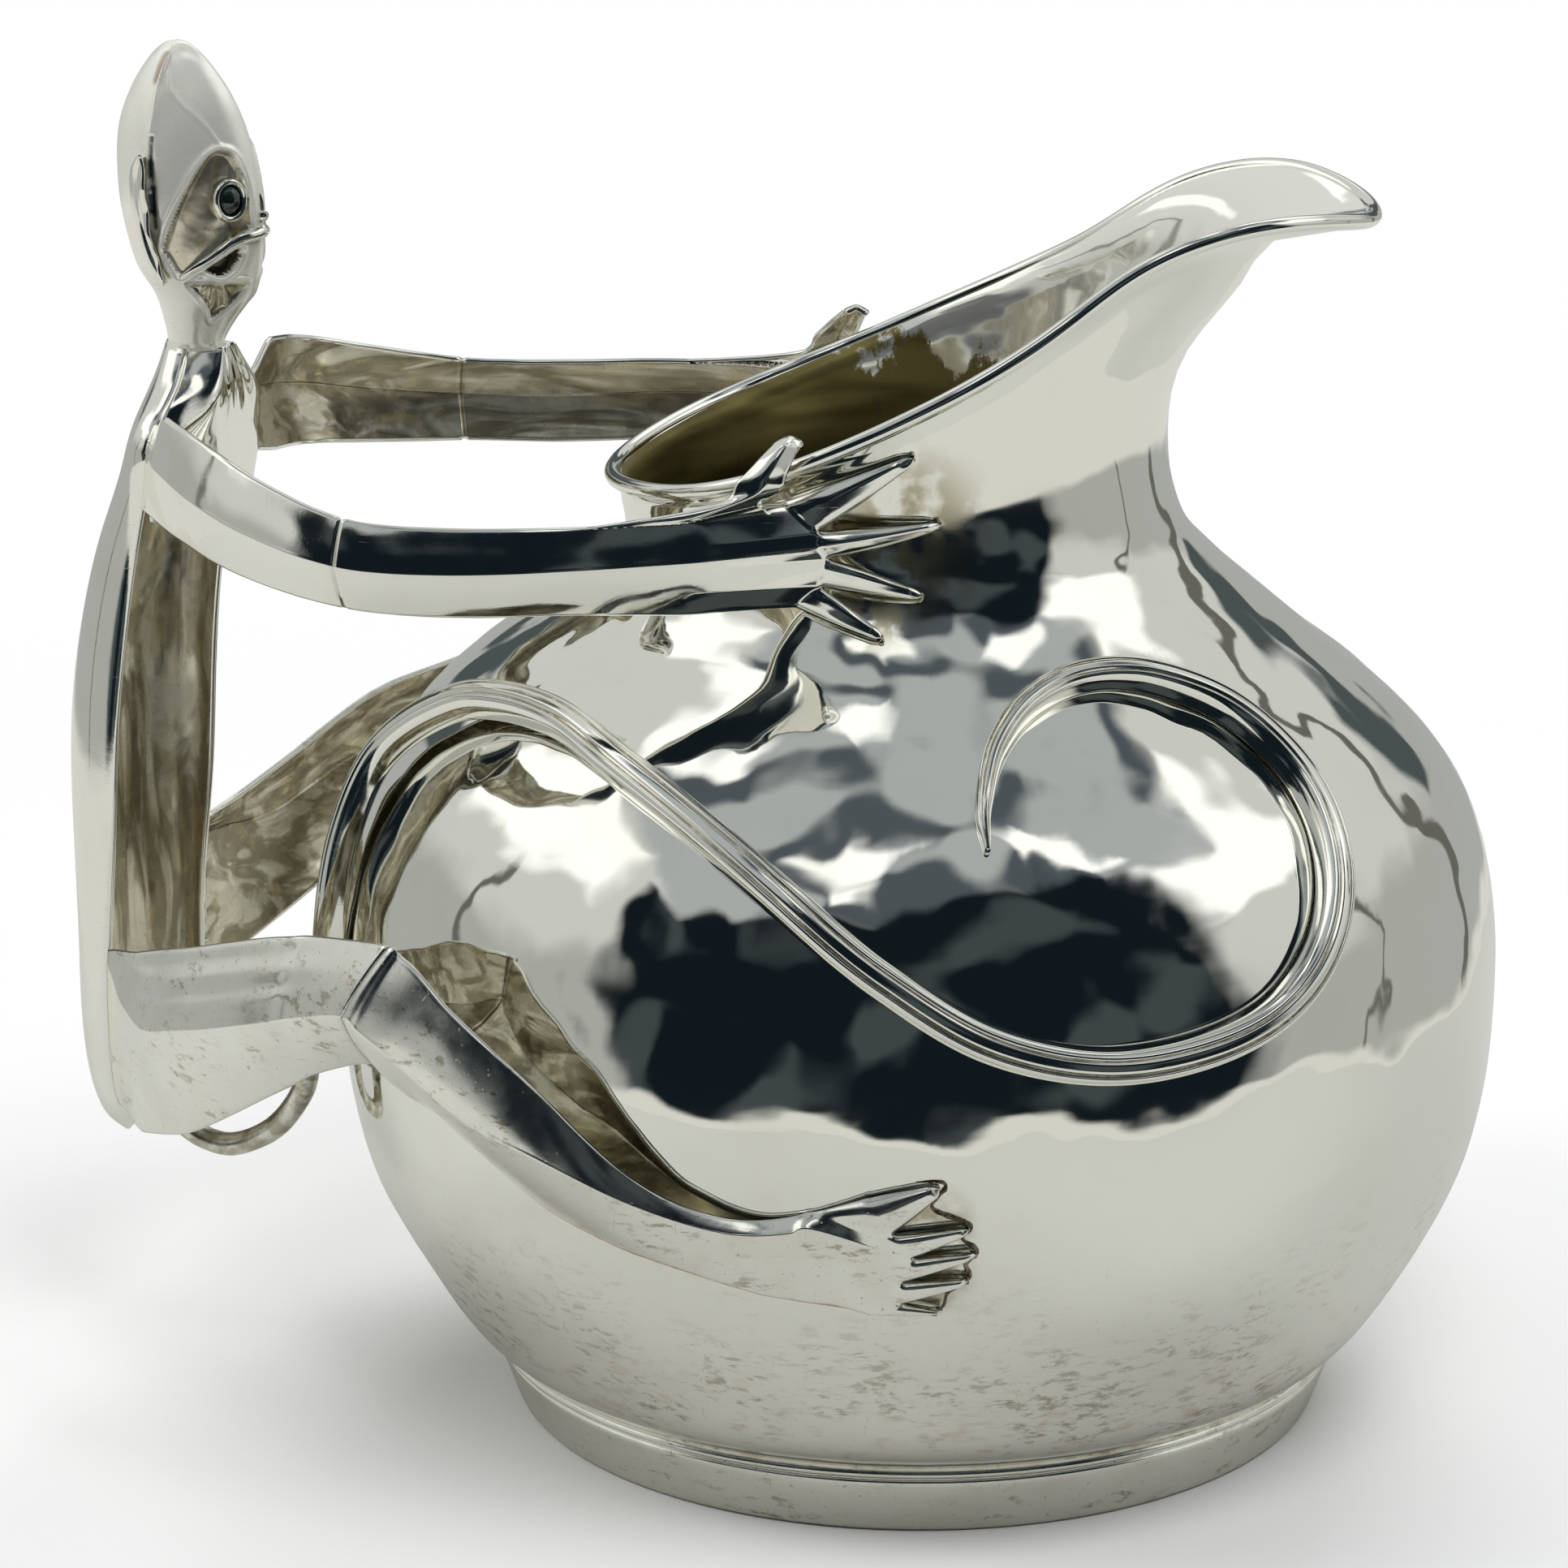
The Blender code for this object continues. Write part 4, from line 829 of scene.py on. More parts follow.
def add_arm_and_hand(suffix, side, shoulder, outside, inside):
    """Arm of one sweep cut at the elbow; palm, four fingers on the neck, thumb hooked over the rim."""
    sections = limb_rows([shoulder] + ARM, side, 15, HAND_COLUMNS, ARM_TOP_SHARE)
    per_finger = (HAND_COLUMNS - 1) // len(FINGER_TIPS)
    v = np.linspace(0, 1, HAND_COLUMNS)
    roots = between(FINGER_ROOTS, per_finger)
    raised = PALM_RISE * (0.3 + 0.7 * fold(v, PALM_CREST, ARM_TOP_SHARE))
    crest = SHEET + DIGIT_EDGE + raised + FINGER_THICKNESS * knuckle_edges(v, len(FINGER_TIPS))
    knuckles = mirrored(on_jug(roots[:, 0], roots[:, 1], crest), side)
    wrist = sections[-1]
    palm = [wrist + share * (knuckles - wrist) for share in (0.34, 0.67)]
    rows = smooth(np.concatenate([sections, palm, [knuckles]]), HAND_ROWS)
    rows = seated(rows + 0.05 * wobble(rows, 9.0, 6)[..., None])
    grid_sheet("upper_arm_" + suffix + "_finished", rows[:ELBOW_ROW + 1], [outside, inside],
               ["upper_arm_" + suffix], "polished_silver", flip=side > 0, square_end=True)
    hand = rows[ELBOW_ROW:]
    points = hand.reshape(-1, 3)
    quads = [grid_faces(len(hand), HAND_COLUMNS)]
    first = len(points) - HAND_COLUMNS
    points, quads = add_digits(points, quads, first, FINGER_ROOTS, FINGER_TIPS, per_finger, side,
                               FINGER_THICKNESS, [FINGER_RIDGE] * 4, raised, 34)
    base = np.arange(len(hand) - 50, len(hand) - 6, 2) * HAND_COLUMNS
    width = len(base)
    thumb = np.array([smooth(row, width) for row in THUMB]) * (1, side, 1)
    loft = smooth(np.concatenate([[points[base]], thumb]), 44)[1:]
    share = np.linspace(0, 1, width)[None, :, None]
    along = np.linspace(0, 1, 43)[:, None, None]
    thumb_normal = unit(np.array([0.25, side * 0.9, 0.35]))
    loft = loft + (0.8 * roof(share, 0.62) * (1 - ramp(along, 0.7, 0.9)) + 0.5 * ramp(along, 0.8, 0.92)) * thumb_normal
    start = len(points)
    points = np.vstack([points, loft.reshape(-1, 3)])
    columns = np.arange(width)
    quads.append(np.stack([base[:-1], base[1:], start + columns[1:], start + columns[:-1]], -1))
    quads.append(grid_faces(43, width) + start)
    sheet_piece("forearm_hand_" + suffix + "_finished", points, np.vstack(quads), [outside, inside],
                ["forearm_hand_" + suffix], "polished_silver", flip=side > 0, square=range(HAND_COLUMNS))


# ---- legs and feet ---------------------------------------------------------------------
FOOT_COLUMNS = 61
LEG_ROWS = 210
KNEE_ROW = 68
TOE_THICKNESS = 1.15
TOE_RIDGES = [0.3, 0.15, 0.15, 0.15, 0.15]


def shin_rows(side, knee_rise, count):
    """Shin and foot: the lower edge lies on the belly and the upper edge stands off it."""
    stations = smooth(SHIN, count)
    rise = knee_rise * np.clip(1 - 2 * np.linspace(0, 1, count), 0, None)[:, None] ** 1.5
    top_angle, top, top_off, low_angle, low, low_off, crest, bulge = (stations[:, k][:, None] for k in range(8))
    v, edge = creased_shares(crest, FOOT_COLUMNS)
    off = top_off + 0.35 * rise * (1 - v) + v * (low_off - top_off) + bulge * fold(v, crest) + edge
    angle = top_angle + v * (low_angle - top_angle)
    height = top + v * (low - top) + rise
    return mirrored(on_jug(angle, height, off), side)


def add_leg(suffix, side, thigh, knee_rise, outside, inside):
    """Thigh and shin of one sweep cut at the knee, with five toes soldered to the belly."""
    upper = limb_rows(thigh, side, 9, FOOT_COLUMNS)
    lower = shin_rows(side, knee_rise, 19)
    v = np.linspace(0, 1, FOOT_COLUMNS)
    per_toe = (FOOT_COLUMNS - 1) // len(TOE_TIPS)
    roots = between(TOE_ROOTS, per_toe)
    raised = 0.7 * np.exp(-((v - 0.08) / 0.06) ** 2)
    crest = SHEET + DIGIT_EDGE + raised + TOE_THICKNESS * knuckle_edges(v, len(TOE_TIPS))
    knuckles = mirrored(on_jug(roots[:, 0], roots[:, 1], crest), side)
    rows = smooth(np.concatenate([upper, lower, [knuckles]]), LEG_ROWS)
    along = np.linspace(0, 1, LEG_ROWS)[:, None]
    normals, _ = vertex_normals(rows.reshape(-1, 3), grid_faces(LEG_ROWS, FOOT_COLUMNS))
    normals = normals.reshape(rows.shape) * (-1 if side > 0 else 1)
    streaks = 0.09 * np.cos(2 * np.pi * 7 * v)[None] * (1 - ramp(v, 0.26, 0.36))[None]
    streaks = streaks * ramp(along, 0.03, 0.08) * (1 - ramp(along, 0.24, 0.32))
    rows = seated(rows + (streaks[..., None] + 0.06 * wobble(rows, 10.0, 7)[..., None]) * normals)
    grid_sheet("thigh_" + suffix + "_finished", rows[:KNEE_ROW + 1], [outside, inside],
               ["thigh_" + suffix], "satin_silver", flip=side > 0, square_end=True)
    shin = rows[KNEE_ROW:]
    points = shin.reshape(-1, 3)
    quads = [grid_faces(len(shin), FOOT_COLUMNS)]
    first = len(points) - FOOT_COLUMNS
    points, quads = add_digits(points, quads, first, TOE_ROOTS, TOE_TIPS, per_toe, side, TOE_THICKNESS,
                               TOE_RIDGES, raised, 24)
    sheet_piece("shin_foot_" + suffix + "_finished", points, np.vstack(quads), [outside, inside],
                ["shin_foot_" + suffix], "satin_silver", flip=side > 0, square=range(FOOT_COLUMNS))


# line just beyond the toe tips and in the notches between them
TOE_SOLDER = [(-84.0, 61.0), (-82.0, 61.1), (-81.4, 60.2), (-82.6, 57.4), (-80.2, 55.6), (-79.0, 54.5),
              (-79.8, 52.8), (-78.4, 50.9), (-79.4, 49.0), (-79.1, 47.0), (-81.0, 44.8), (-81.6, 42.4), (-84.0, 41.4)]


def add_toe_solder(suffix, side, material):
    """Thin ragged fillet of solder round the toes."""
    line = smooth(TOE_SOLDER, 160)
    path = mirrored(on_jug(line[:, 0], line[:, 1], 0.05), side)
    grain = wobble(path, 1.3, 8) + 0.6 * wobble(path, 0.5, 9)
    fade = ramp(np.linspace(0, 1, 160), 0, 0.12) * (1 - ramp(np.linspace(0, 1, 160), 0.88, 1))
    tube_piece("toe_solder_" + suffix, path, 0.12 + (0.20 + 0.16 * grain) * fade, 10, material, [], "satin_silver")


def add_copper_seam(suffix, side, material):
    """Thin copper-coloured solder line under the lower edge of the shin."""
    edge = [(row[3], row[4] - 0.75) for row in SHIN[3:]] + [(-88.5, 41.7), (-84.5, 41.6)]
    line = smooth(edge, 140)
    path = mirrored(on_jug(line[:, 0], line[:, 1], -0.02), side)
    grain = wobble(path, 4.0, 10)
    tube_piece("shin_seam_" + suffix, path, 0.20 + 0.06 * grain, 8, material, [], "satin_silver")


# ---- tail ------------------------------------------------------------------------------
def add_tail_wire(material):
    path = smooth(TAIL_WIRE, 70)
    tube_piece("tail_root", path, TAIL_WIRE_RADIUS + 0.08 * wobble(path, 5.0, 11), 24, material,
               ["tail_wire"], "satin_silver")


def add_tail_band(outside, inside, groove):
    """Raised channel with two grooves, laid over the belly as an S that ends in a curl."""
    count = 420
    stations = smooth(TAIL_BAND, count)
    angle, height, width, crest = stations.T
    foot = on_jug(angle, height, 0)
    along = unit(np.gradient(foot, axis=0))
    normal = unit(on_jug(angle, height, 1) - foot)
    across = np.cross(normal, along)
    a = np.radians(np.linspace(-90, 90, 61))
    lateral = np.sign(np.sin(a)) * np.abs(np.sin(a)) ** 0.72
    rise = np.abs(np.cos(a)) ** 0.62
    grooves = 0.55 * np.exp(-((lateral + 0.36) / 0.10) ** 2) + 0.35 * np.exp(-((lateral - 0.42) / 0.09) ** 2)
    edge = np.maximum(crest - BAND_DEPTH, 0.5)[:, None]
    lift = edge + rise * (crest[:, None] - edge) - grooves * ramp(width, 0.8, 3.5)[:, None]
    rows = foot[:, None] + (lateral * width[:, None] / 2)[..., None] * across[:, None] + lift[..., None] * normal[:, None]
    quads = grid_faces(count, len(a))
    points, faces, slots, _ = thicken(rows.reshape(-1, 3), quads[:, ::-1], 0.6)
    slots = np.array(slots)
    worn = (np.abs(lateral + 0.36) < 0.08) | (np.abs(lateral - 0.42) < 0.06)
    slots[:len(quads)] = np.where(worn[quads % len(a)].all(axis=1), 2, 0)
    make_piece("tail", points, faces, [outside, inside, groove], ["tail_band"], "polished_silver", slots)


# ---- materials -------------------------------------------------------------------------
class Nodes:
    """Short way to lay out shader nodes in one tree."""

    def __init__(self, tree):
        self.tree = tree

    def new(self, kind):
        return self.tree.nodes.new(kind)

    def link(self, source, target):
        if hasattr(source, "links"):
            self.tree.links.new(source, target)
        else:
            target.default_value = source

    def math(self, operation, a, b=0.0, clamp=False):
        node = self.new("ShaderNodeMath")
        node.operation = operation
        node.use_clamp = clamp
        self.link(a, node.inputs[0])
        self.link(b, node.inputs[1])
        return node.outputs[0]

    def product(self, *values):
        total = values[0]
        for value in values[1:]:
            total = self.math("MULTIPLY", total, value)
        return total

    def range(self, value, low, high, start=0.0, end=1.0):
        """Smooth step from start at low to end at high."""
        node = self.new("ShaderNodeMapRange")
        node.interpolation_type = "SMOOTHSTEP"
        self.link(value, node.inputs["Value"])
        for name, number in (("From Min", low), ("From Max", high), ("To Min", start), ("To Max", end)):
            self.link(number, node.inputs[name])
        return node.outputs["Result"]

    def mix(self, share, first, second):
        """Blend of two colours."""
        node = self.new("ShaderNodeMix")
        node.data_type = "RGBA"
        self.link(share, node.inputs["Factor"])
        for colour, name in ((first, "A"), (second, "B")):
            target = [s for s in node.inputs if s.name == name and s.type == "RGBA"][0]
            self.link((*colour, 1) if isinstance(colour, tuple) else colour, target)
        return [s for s in node.outputs if s.type == "RGBA"][0]

    def grain(self, place, scale, detail, rough=0.5, distortion=0.0):
        texture = self.new("ShaderNodeTexNoise")
        for name, number in (("Scale", scale), ("Detail", detail), ("Roughness", rough),
                             ("Distortion", distortion)):
            texture.inputs[name].default_value = number
        self.link(place, texture.inputs["Vector"])
        return texture.outputs["Fac"]


class Shader(Nodes):
    """A surface material, measured in millimetres on the object."""

    def __init__(self, name):
        self.material = bpy.data.materials.new(name)
        self.material.use_nodes = True
        super().__init__(self.material.node_tree)
        self.surface = self.tree.nodes["Principled BSDF"]
        self.place = self.new("ShaderNodeTexCoord").outputs["Object"]

    def noise(self, size, detail=3.0, rough=0.55, stretch=(1, 1, 1), distortion=0.0):
        """Noise between 0 and 1 whose bumps are about size millimetres wide."""
        mapping = self.new("ShaderNodeMapping")
        mapping.inputs["Scale"].default_value = tuple(1 / (size * MM * s) for s in stretch)
        self.link(self.place, mapping.inputs["Vector"])
        return self.grain(mapping.outputs["Vector"], 1.0, detail, rough, distortion)

    def height(self):
        """Height above the table, in millimetres."""
        split = self.new("ShaderNodeSeparateXYZ")
        self.link(self.place, split.inputs[0])
        return self.math("MULTIPLY", split.outputs["Z"], 1 / MM)

    def near(self, spot, inner, outer):
        """1 within inner millimetres of a spot, 0 beyond outer."""
        node = self.new("ShaderNodeVectorMath")
        node.operation = "DISTANCE"
        self.link(self.place, node.inputs[0])
        node.inputs[1].default_value = tuple((np.array(spot) + (jug_axis_x(), 0, 0)) * MM)
        return self.range(self.math("MULTIPLY", node.outputs["Value"], 1 / MM), inner, outer, 1.0, 0.0)

    def near_line(self, start, end, inner, outer):
        """1 within inner millimetres of a straight line between two spots, 0 beyond outer."""
        start, end = ((np.array(spot) + (jug_axis_x(), 0, 0)) * MM for spot in (start, end))
        run = end - start
        away = self.vector("SUBTRACT", self.place, start)
        share = self.math("MULTIPLY", self.vector("DOT_PRODUCT", away, run / (run @ run)), 1.0, clamp=True)
        stretched = self.new("ShaderNodeVectorMath")
        stretched.operation = "SCALE"
        stretched.inputs[0].default_value = tuple(run)
        self.link(share, stretched.inputs["Scale"])
        gap = self.vector("DISTANCE", away, stretched.outputs["Vector"])
        return self.range(self.math("MULTIPLY", gap, 1 / MM), inner, outer, 1.0, 0.0)

    def vector(self, operation, a, b):
        node = self.new("ShaderNodeVectorMath")
        node.operation = operation
        for value, target in ((a, node.inputs[0]), (b, node.inputs[1])):
            self.link(value if hasattr(value, "links") else tuple(value), target)
        return node.outputs["Value" if operation in ("DOT_PRODUCT", "DISTANCE") else "Vector"]

    def bump(self, value, depth):
        """Relief of depth millimetres, stacked on any earlier one."""
        node = self.new("ShaderNodeBump")
        node.inputs["Distance"].default_value = depth * MM
        self.link(value, node.inputs["Height"])
        normal = self.surface.inputs["Normal"]
        if normal.links:
            self.link(normal.links[0].from_socket, node.inputs["Normal"])
        self.link(node.outputs["Normal"], normal)

    def finish(self, colour, roughness, metallic=1.0):
        self.link((*colour, 1) if isinstance(colour, tuple) else colour, self.surface.inputs["Base Color"])
        self.link(roughness, self.surface.inputs["Roughness"])
        self.surface.inputs["Metallic"].default_value = metallic
        return self.material


SILVER = (0.93, 0.925, 0.86)
WARM_SILVER = (0.82, 0.80, 0.69)
TARNISH = (0.36, 0.32, 0.22)
PALE_TARNISH = (0.80, 0.76, 0.62)
GOLDEN = (0.62, 0.52, 0.28)
OLIVE = (0.36, 0.31, 0.14)
COPPER = (0.74, 0.52, 0.40)
SOOT = (0.10, 0.09, 0.07)


def scratches(shader, size, amount):
    """Sparse fine scratches in two directions: 1 in a scratch."""
    first = shader.range(shader.noise(size, 1, stretch=(3, 3, 0.25), distortion=1.6), 0.71, 0.79)
    second = shader.range(shader.noise(size, 1, stretch=(0.3, 2.5, 2.5), distortion=1.2), 0.71, 0.79)
    return shader.math("MULTIPLY", shader.math("MAXIMUM", first, second), amount)


def polished(name, roughness=0.05, haze=0.05, grime=0.25, metallic=1.0):
    """Mirror silver with hairline marks and a little warm grime."""
    shader = Shader(name)
    cloud = shader.range(shader.noise(14, 4), 0.52, 0.72)
    marks = scratches(shader, 1.1, 0.25)
    colour = shader.mix(shader.math("MULTIPLY", cloud, grime), SILVER, WARM_SILVER)
    colour = shader.mix(shader.math("MULTIPLY", marks, 0.35), colour, TARNISH)
    rough = shader.math("ADD", shader.range(shader.noise(5, 5), 0.35, 0.75, roughness, roughness + haze),
                        shader.math("MULTIPLY", marks, 0.15))
    shader.bump(shader.noise(2.4, 3), 0.010)
    shader.bump(marks, -0.006)
    return shader.finish(colour, rough, metallic)


def silver_of_head():
    """Softer silver of the head, with a painted shade line along the fold before each ear and a brown worn spot on
    each ridge.
    """
    shader = Shader("head_silver")
    cloud = shader.range(shader.noise(8, 4), 0.45, 0.7)
    colour = shader.mix(shader.product(cloud, 0.3), SILVER, WARM_SILVER)
    broken = shader.range(shader.noise(2.5, 3), 0.25, 0.5)
    for side in (-1, 1):
        # painted shade: a broken near-black line along the fold in front of each ear
        spots = [head_points(height, side * turn) for turn, height in SHADED_EAR_FOLD]
        for start, end, width in zip(spots, spots[1:], (0.5, 0.9, 1.3, 0.9)):
            line = shader.near_line(start, end, 0.2 * width, width)
            colour = shader.mix(shader.product(line, broken), colour, (0.015, 0.02, 0.025))
        worn = shader.near_line(head_points(193.6, side * 96), head_points(190.6, side * 99), 0.3, 1.3)
        colour = shader.mix(shader.product(worn, broken, 0.85), colour, (0.36, 0.27, 0.18))
    rough = shader.range(shader.noise(5, 4), 0.35, 0.75, 0.22, 0.34)
    shader.bump(shader.noise(2.4, 3), 0.010)
    return shader.finish(colour, rough, metallic=0.50)


def satin(name, roughness=0.16, copper=0.3, tarnish=0.0):
    """Worn satin silver with pits, scuffs, scratches and copper showing through."""
    shader = Shader(name)
    cloud = shader.range(shader.noise(9, 5), 0.42, 0.72)
    bleed = shader.product(shader.range(shader.noise(7, 6, 0.65), 0.60, 0.72), copper)
    pits = shader.range(shader.noise(0.9, 2), 0.68, 0.76)
    scuff = shader.product(shader.range(shader.noise(1.5, 5, 0.7, (2.5, 2.5, 1)), 0.54, 0.64),
                           shader.range(shader.noise(14, 3), 0.44, 0.62))
    marks = scratches(shader, 1.0, 0.8)
    colour = shader.mix(shader.math("MAXIMUM", shader.product(cloud, 0.5), tarnish), SILVER, WARM_SILVER)
    colour = shader.mix(shader.product(tarnish, shader.range(shader.noise(3, 4), 0.4, 0.6)), colour, TARNISH)
    colour = shader.mix(bleed, colour, COPPER)
    dark = shader.math("MAXIMUM", shader.product(pits, 0.6), shader.product(marks, 0.5))
    dark = shader.math("MAXIMUM", dark, shader.product(scuff, 0.75))
    colour = shader.mix(dark, colour, TARNISH)
    rough = shader.range(shader.noise(4, 5), 0.3, 0.75, roughness, roughness + 0.12)
    shader.bump(shader.noise(2.2, 4), 0.014)
    shader.bump(pits, -0.03)
    return shader.finish(colour, rough)


def oxidised(name, colour=TARNISH, pale=PALE_TARNISH, along=(1, 1, 5)):
    """Unpolished inner face: olive-brown with paler and golden streaks along the sheet."""
    shader = Shader(name)
    streak = shader.range(shader.noise(5.0, 3, 0.5, along, 1.2), 0.44, 0.60)
    gold = shader.range(shader.noise(4.0, 3, 0.5, along, 1.5), 0.56, 0.66)
    pit = shader.range(shader.noise(1.1, 2), 0.66, 0.74)
    tone = shader.mix(streak, colour, pale)
    tone = shader.mix(shader.product(gold, 0.5), tone, GOLDEN)
    tone = shader.mix(shader.product(pit, 0.3), tone, SOOT)
    rough = shader.range(shader.noise(4, 3), 0.3, 0.7, 0.16, 0.34)
    shader.bump(shader.noise(5.0, 2, 0.5, along, 1.0), 0.20)
    shader.bump(shader.noise(1.2, 2), 0.01)
    return shader.finish(tone, rough, metallic=0.85)


def vessel_silver():
    """Planished mirror silver: satin, scratched and copper-stained towards the foot, stained by solder."""
    shader = Shader("planished_silver")
    height = shader.height()
    low = shader.range(height, 34, 58, 1.0, 0.0)
    base = shader.range(height, 14, 34, 1.0, 0.0)
    cloud = shader.range(shader.noise(16, 4), 0.5, 0.72)
    bleed = shader.math("MULTIPLY", shader.range(shader.noise(6, 6, 0.65, (1, 1, 0.6)), 0.54, 0.66), base)
    marks = scratches(shader, 1.2, 0.6)
    worn = shader.math("MULTIPLY", marks, shader.math("ADD", 0.06, low))
    smudge = shader.product(shader.range(shader.noise(1.6, 6, 0.72, (2.2, 2.2, 0.8)), 0.50, 0.62),
                            shader.range(shader.noise(15, 3), 0.40, 0.60), shader.range(height, 18, 52, 1.0, 0.0))
    colour = shader.mix(shader.math("MULTIPLY", cloud, 0.22), SILVER, WARM_SILVER)
    colour = shader.mix(shader.math("MULTIPLY", bleed, 0.55), colour, COPPER)
    colour = shader.mix(shader.product(smudge, 0.8), colour, TARNISH)
    colour = shader.mix(shader.math("MULTIPLY", worn, 0.55, clamp=True), colour, TARNISH)
    rough = shader.math("ADD", shader.range(low, 0.0, 1.0, 0.035, 0.20), shader.math("MULTIPLY", cloud, 0.03))
    for side in (-1, 1):
        for spot, reach in (((3, 40, 137), 15), ((-3, 42, 130), 11), ((10, 82, 54), 8), ((11, 82, 47), 7)):
            place = shader.near((spot[0], side * spot[1], spot[2]), reach * 0.35, reach)
            patch = shader.math("MULTIPLY", place, shader.range(shader.noise(4.5, 3, 0.5), 0.36, 0.58))
            colour = shader.mix(shader.math("MULTIPLY", patch, 0.75), colour, OLIVE)
            rough = shader.math("ADD", rough, shader.math("MULTIPLY", patch, 0.18))
    shader.bump(shader.noise(4.5, 0), 0.05)
    shader.bump(worn, -0.002)
    return shader.finish(colour, rough)


def vessel_inside():
    """Inside of the jug: olive-brown below a ragged line, clean silver above it, up in the spout."""
    shader = Shader("jug_inside")
    ragged = shader.product(shader.noise(9, 6, 0.7, (1, 1, 2)), 30)
    clean = shader.range(shader.math("ADD", shader.height(), ragged), 159.5, 161.5)
    band = shader.noise(14, 3, 0.5, (3, 3, 0.5), 0.4)
    stained = shader.mix(shader.range(band, 0.35, 0.65), (0.12, 0.098, 0.032), (0.30, 0.25, 0.09))
    fleck = shader.range(shader.noise(2.2, 4, 0.6, (1, 1, 2.5)), 0.60, 0.70)
    stained = shader.mix(shader.product(fleck, 0.4), stained, SOOT)
    colour = shader.mix(clean, stained, SILVER)
    rough = shader.range(clean, 0, 1, 0.36, 0.07)
    shader.bump(shader.noise(6, 1), 0.09)
    return shader.finish(colour, rough, metallic=0.8)


def solder(name, colour, dark):
    shader = Shader(name)
    mottle = shader.range(shader.noise(1.4, 5, 0.7), 0.38, 0.62)
    shader.bump(shader.noise(0.7, 4), 0.12)
    return shader.finish(shader.mix(mottle, colour, dark), shader.range(mottle, 0, 1, 0.30, 0.55))


def black_stone():
    shader = Shader("eye_stone")
    cloud = shader.noise(1.6, 4)
    shader.surface.inputs["Coat Weight"].default_value = 1.0
    shader.surface.inputs["Coat Roughness"].default_value = 0.03
    shader.bump(shader.noise(0.7, 2), 0.006)
    colour = shader.mix(shader.range(cloud, 0.45, 0.7), (0.004, 0.010, 0.009), (0.020, 0.045, 0.040))
    return shader.finish(colour, shader.range(cloud, 0.3, 0.7, 0.05, 0.14), metallic=0.0)


# ---- the studio ------------------------------------------------------------------------
CAMERA_AZIMUTH = math.radians(7.198)
CAMERA_ELEVATION = math.radians(17.246)
CAMERA_ROLL = math.radians(-0.151)
CAMERA_DISTANCE = 900.0
CAMERA_ASIDE = -19.064
CAMERA_AIM_HEIGHT = 90.199
CAMERA_LENS = 144.72


def add_camera():
    az, el = CAMERA_AZIMUTH, CAMERA_ELEVATION
    right = Vector((math.cos(az), math.sin(az), 0))
    back = Vector((math.sin(az) * math.cos(el), -math.cos(az) * math.cos(el), math.sin(el)))
    aim = Vector((jug_axis_x(), 0, CAMERA_AIM_HEIGHT)) + CAMERA_ASIDE * right
    data = bpy.data.cameras.new("camera")
    data.lens = CAMERA_LENS
    data.sensor_width = 36.0
    data.clip_start = 0.05
    camera = bpy.data.objects.new("camera", data)
    camera.location = (aim + CAMERA_DISTANCE * back) * MM
    upright = (-back).to_track_quat("-Z", "Y")
    camera.rotation_mode = "QUATERNION"
    camera.rotation_quaternion = Quaternion(back, CAMERA_ROLL) @ upright
    bpy.context.collection.objects.link(camera)
    bpy.context.scene.camera = camera


def glow(name, spot, aim, size, power, colour=(1, 1, 1)):
    """Soft square light at spot, facing aim; places in millimetres about the jug's axis."""
    data = bpy.data.lights.new(name, "AREA")
    data.shape = "RECTANGLE"
    data.size, data.size_y = size[0] * MM, size[1] * MM
    data.energy = power
    data.color = colour
    lamp = bpy.data.objects.new(name, data)
    place = Vector(spot) + Vector((jug_axis_x(), 0, 0))
    lamp.location = place * MM
    away = Vector(aim) + Vector((jug_axis_x(), 0, 0)) - place
    lamp.rotation_euler = away.to_track_quat("-Z", "Y").to_euler()
    lamp.visible_glossy = False
    bpy.context.collection.objects.link(lamp)


FLOOR_RINGS = [0.06, 0.12, 0.29, 0.8, 1.2]
FLOOR_FADE = (130.0, 460.0)
TABLE_RADIUS = 300.0
FLOOR_TONE = (0.93, 0.93, 0.925)
FLOOR_REFLECTED = (0.55, 0.55, 0.53)
TABLE_TONE = (0.68, 0.68, 0.65)


def floor_material():
    """Pale matt floor that fades into the backdrop; the jug mirrors it as far as a table's edge."""
    shader = Shader("pale_floor")
    shader.bump(shader.noise(2.0, 3), 0.01)
    path = shader.new("ShaderNodeLightPath")
    seen = path.outputs["Is Camera Ray"]
    tone = shader.mix(seen, FLOOR_REFLECTED, FLOOR_TONE)
    shader.finish(tone, 0.6, metallic=0.0)
    mirrored_part = shader.near((0, 0, 0), TABLE_RADIUS - 2, TABLE_RADIUS + 2)
    faded = shader.product(seen, shader.near((0, 0, 0), *FLOOR_FADE))
    mirrored_part = shader.product(mirrored_part, shader.math("SUBTRACT", 1.0, seen))
    shader.link(shader.math("ADD", mirrored_part, faded), shader.surface.inputs["Alpha"])
    return shader.material


def add_floor():
    """Round pale sweep that the jug stands on."""
    sides = 96
    a = np.linspace(0, 2 * np.pi, sides, endpoint=False)
    circles = [np.stack([r * np.cos(a), r * np.sin(a), 0 * a], -1) for r in FLOOR_RINGS]
    points = np.vstack([[(0.0, 0.0, 0.0)]] + circles)
    faces = [(0, 1 + k, 1 + (k + 1) % sides) for k in range(sides)]
    faces += (grid_faces(len(FLOOR_RINGS), sides, wrap_columns=True)[:, ::-1] + 1).tolist()
    mesh = bpy.data.meshes.new("floor")
    mesh.from_pydata(points.tolist(), [], faces)
    mesh.materials.append(floor_material())
    floor = bpy.data.objects.new("floor", mesh)
    bpy.context.collection.objects.link(floor)


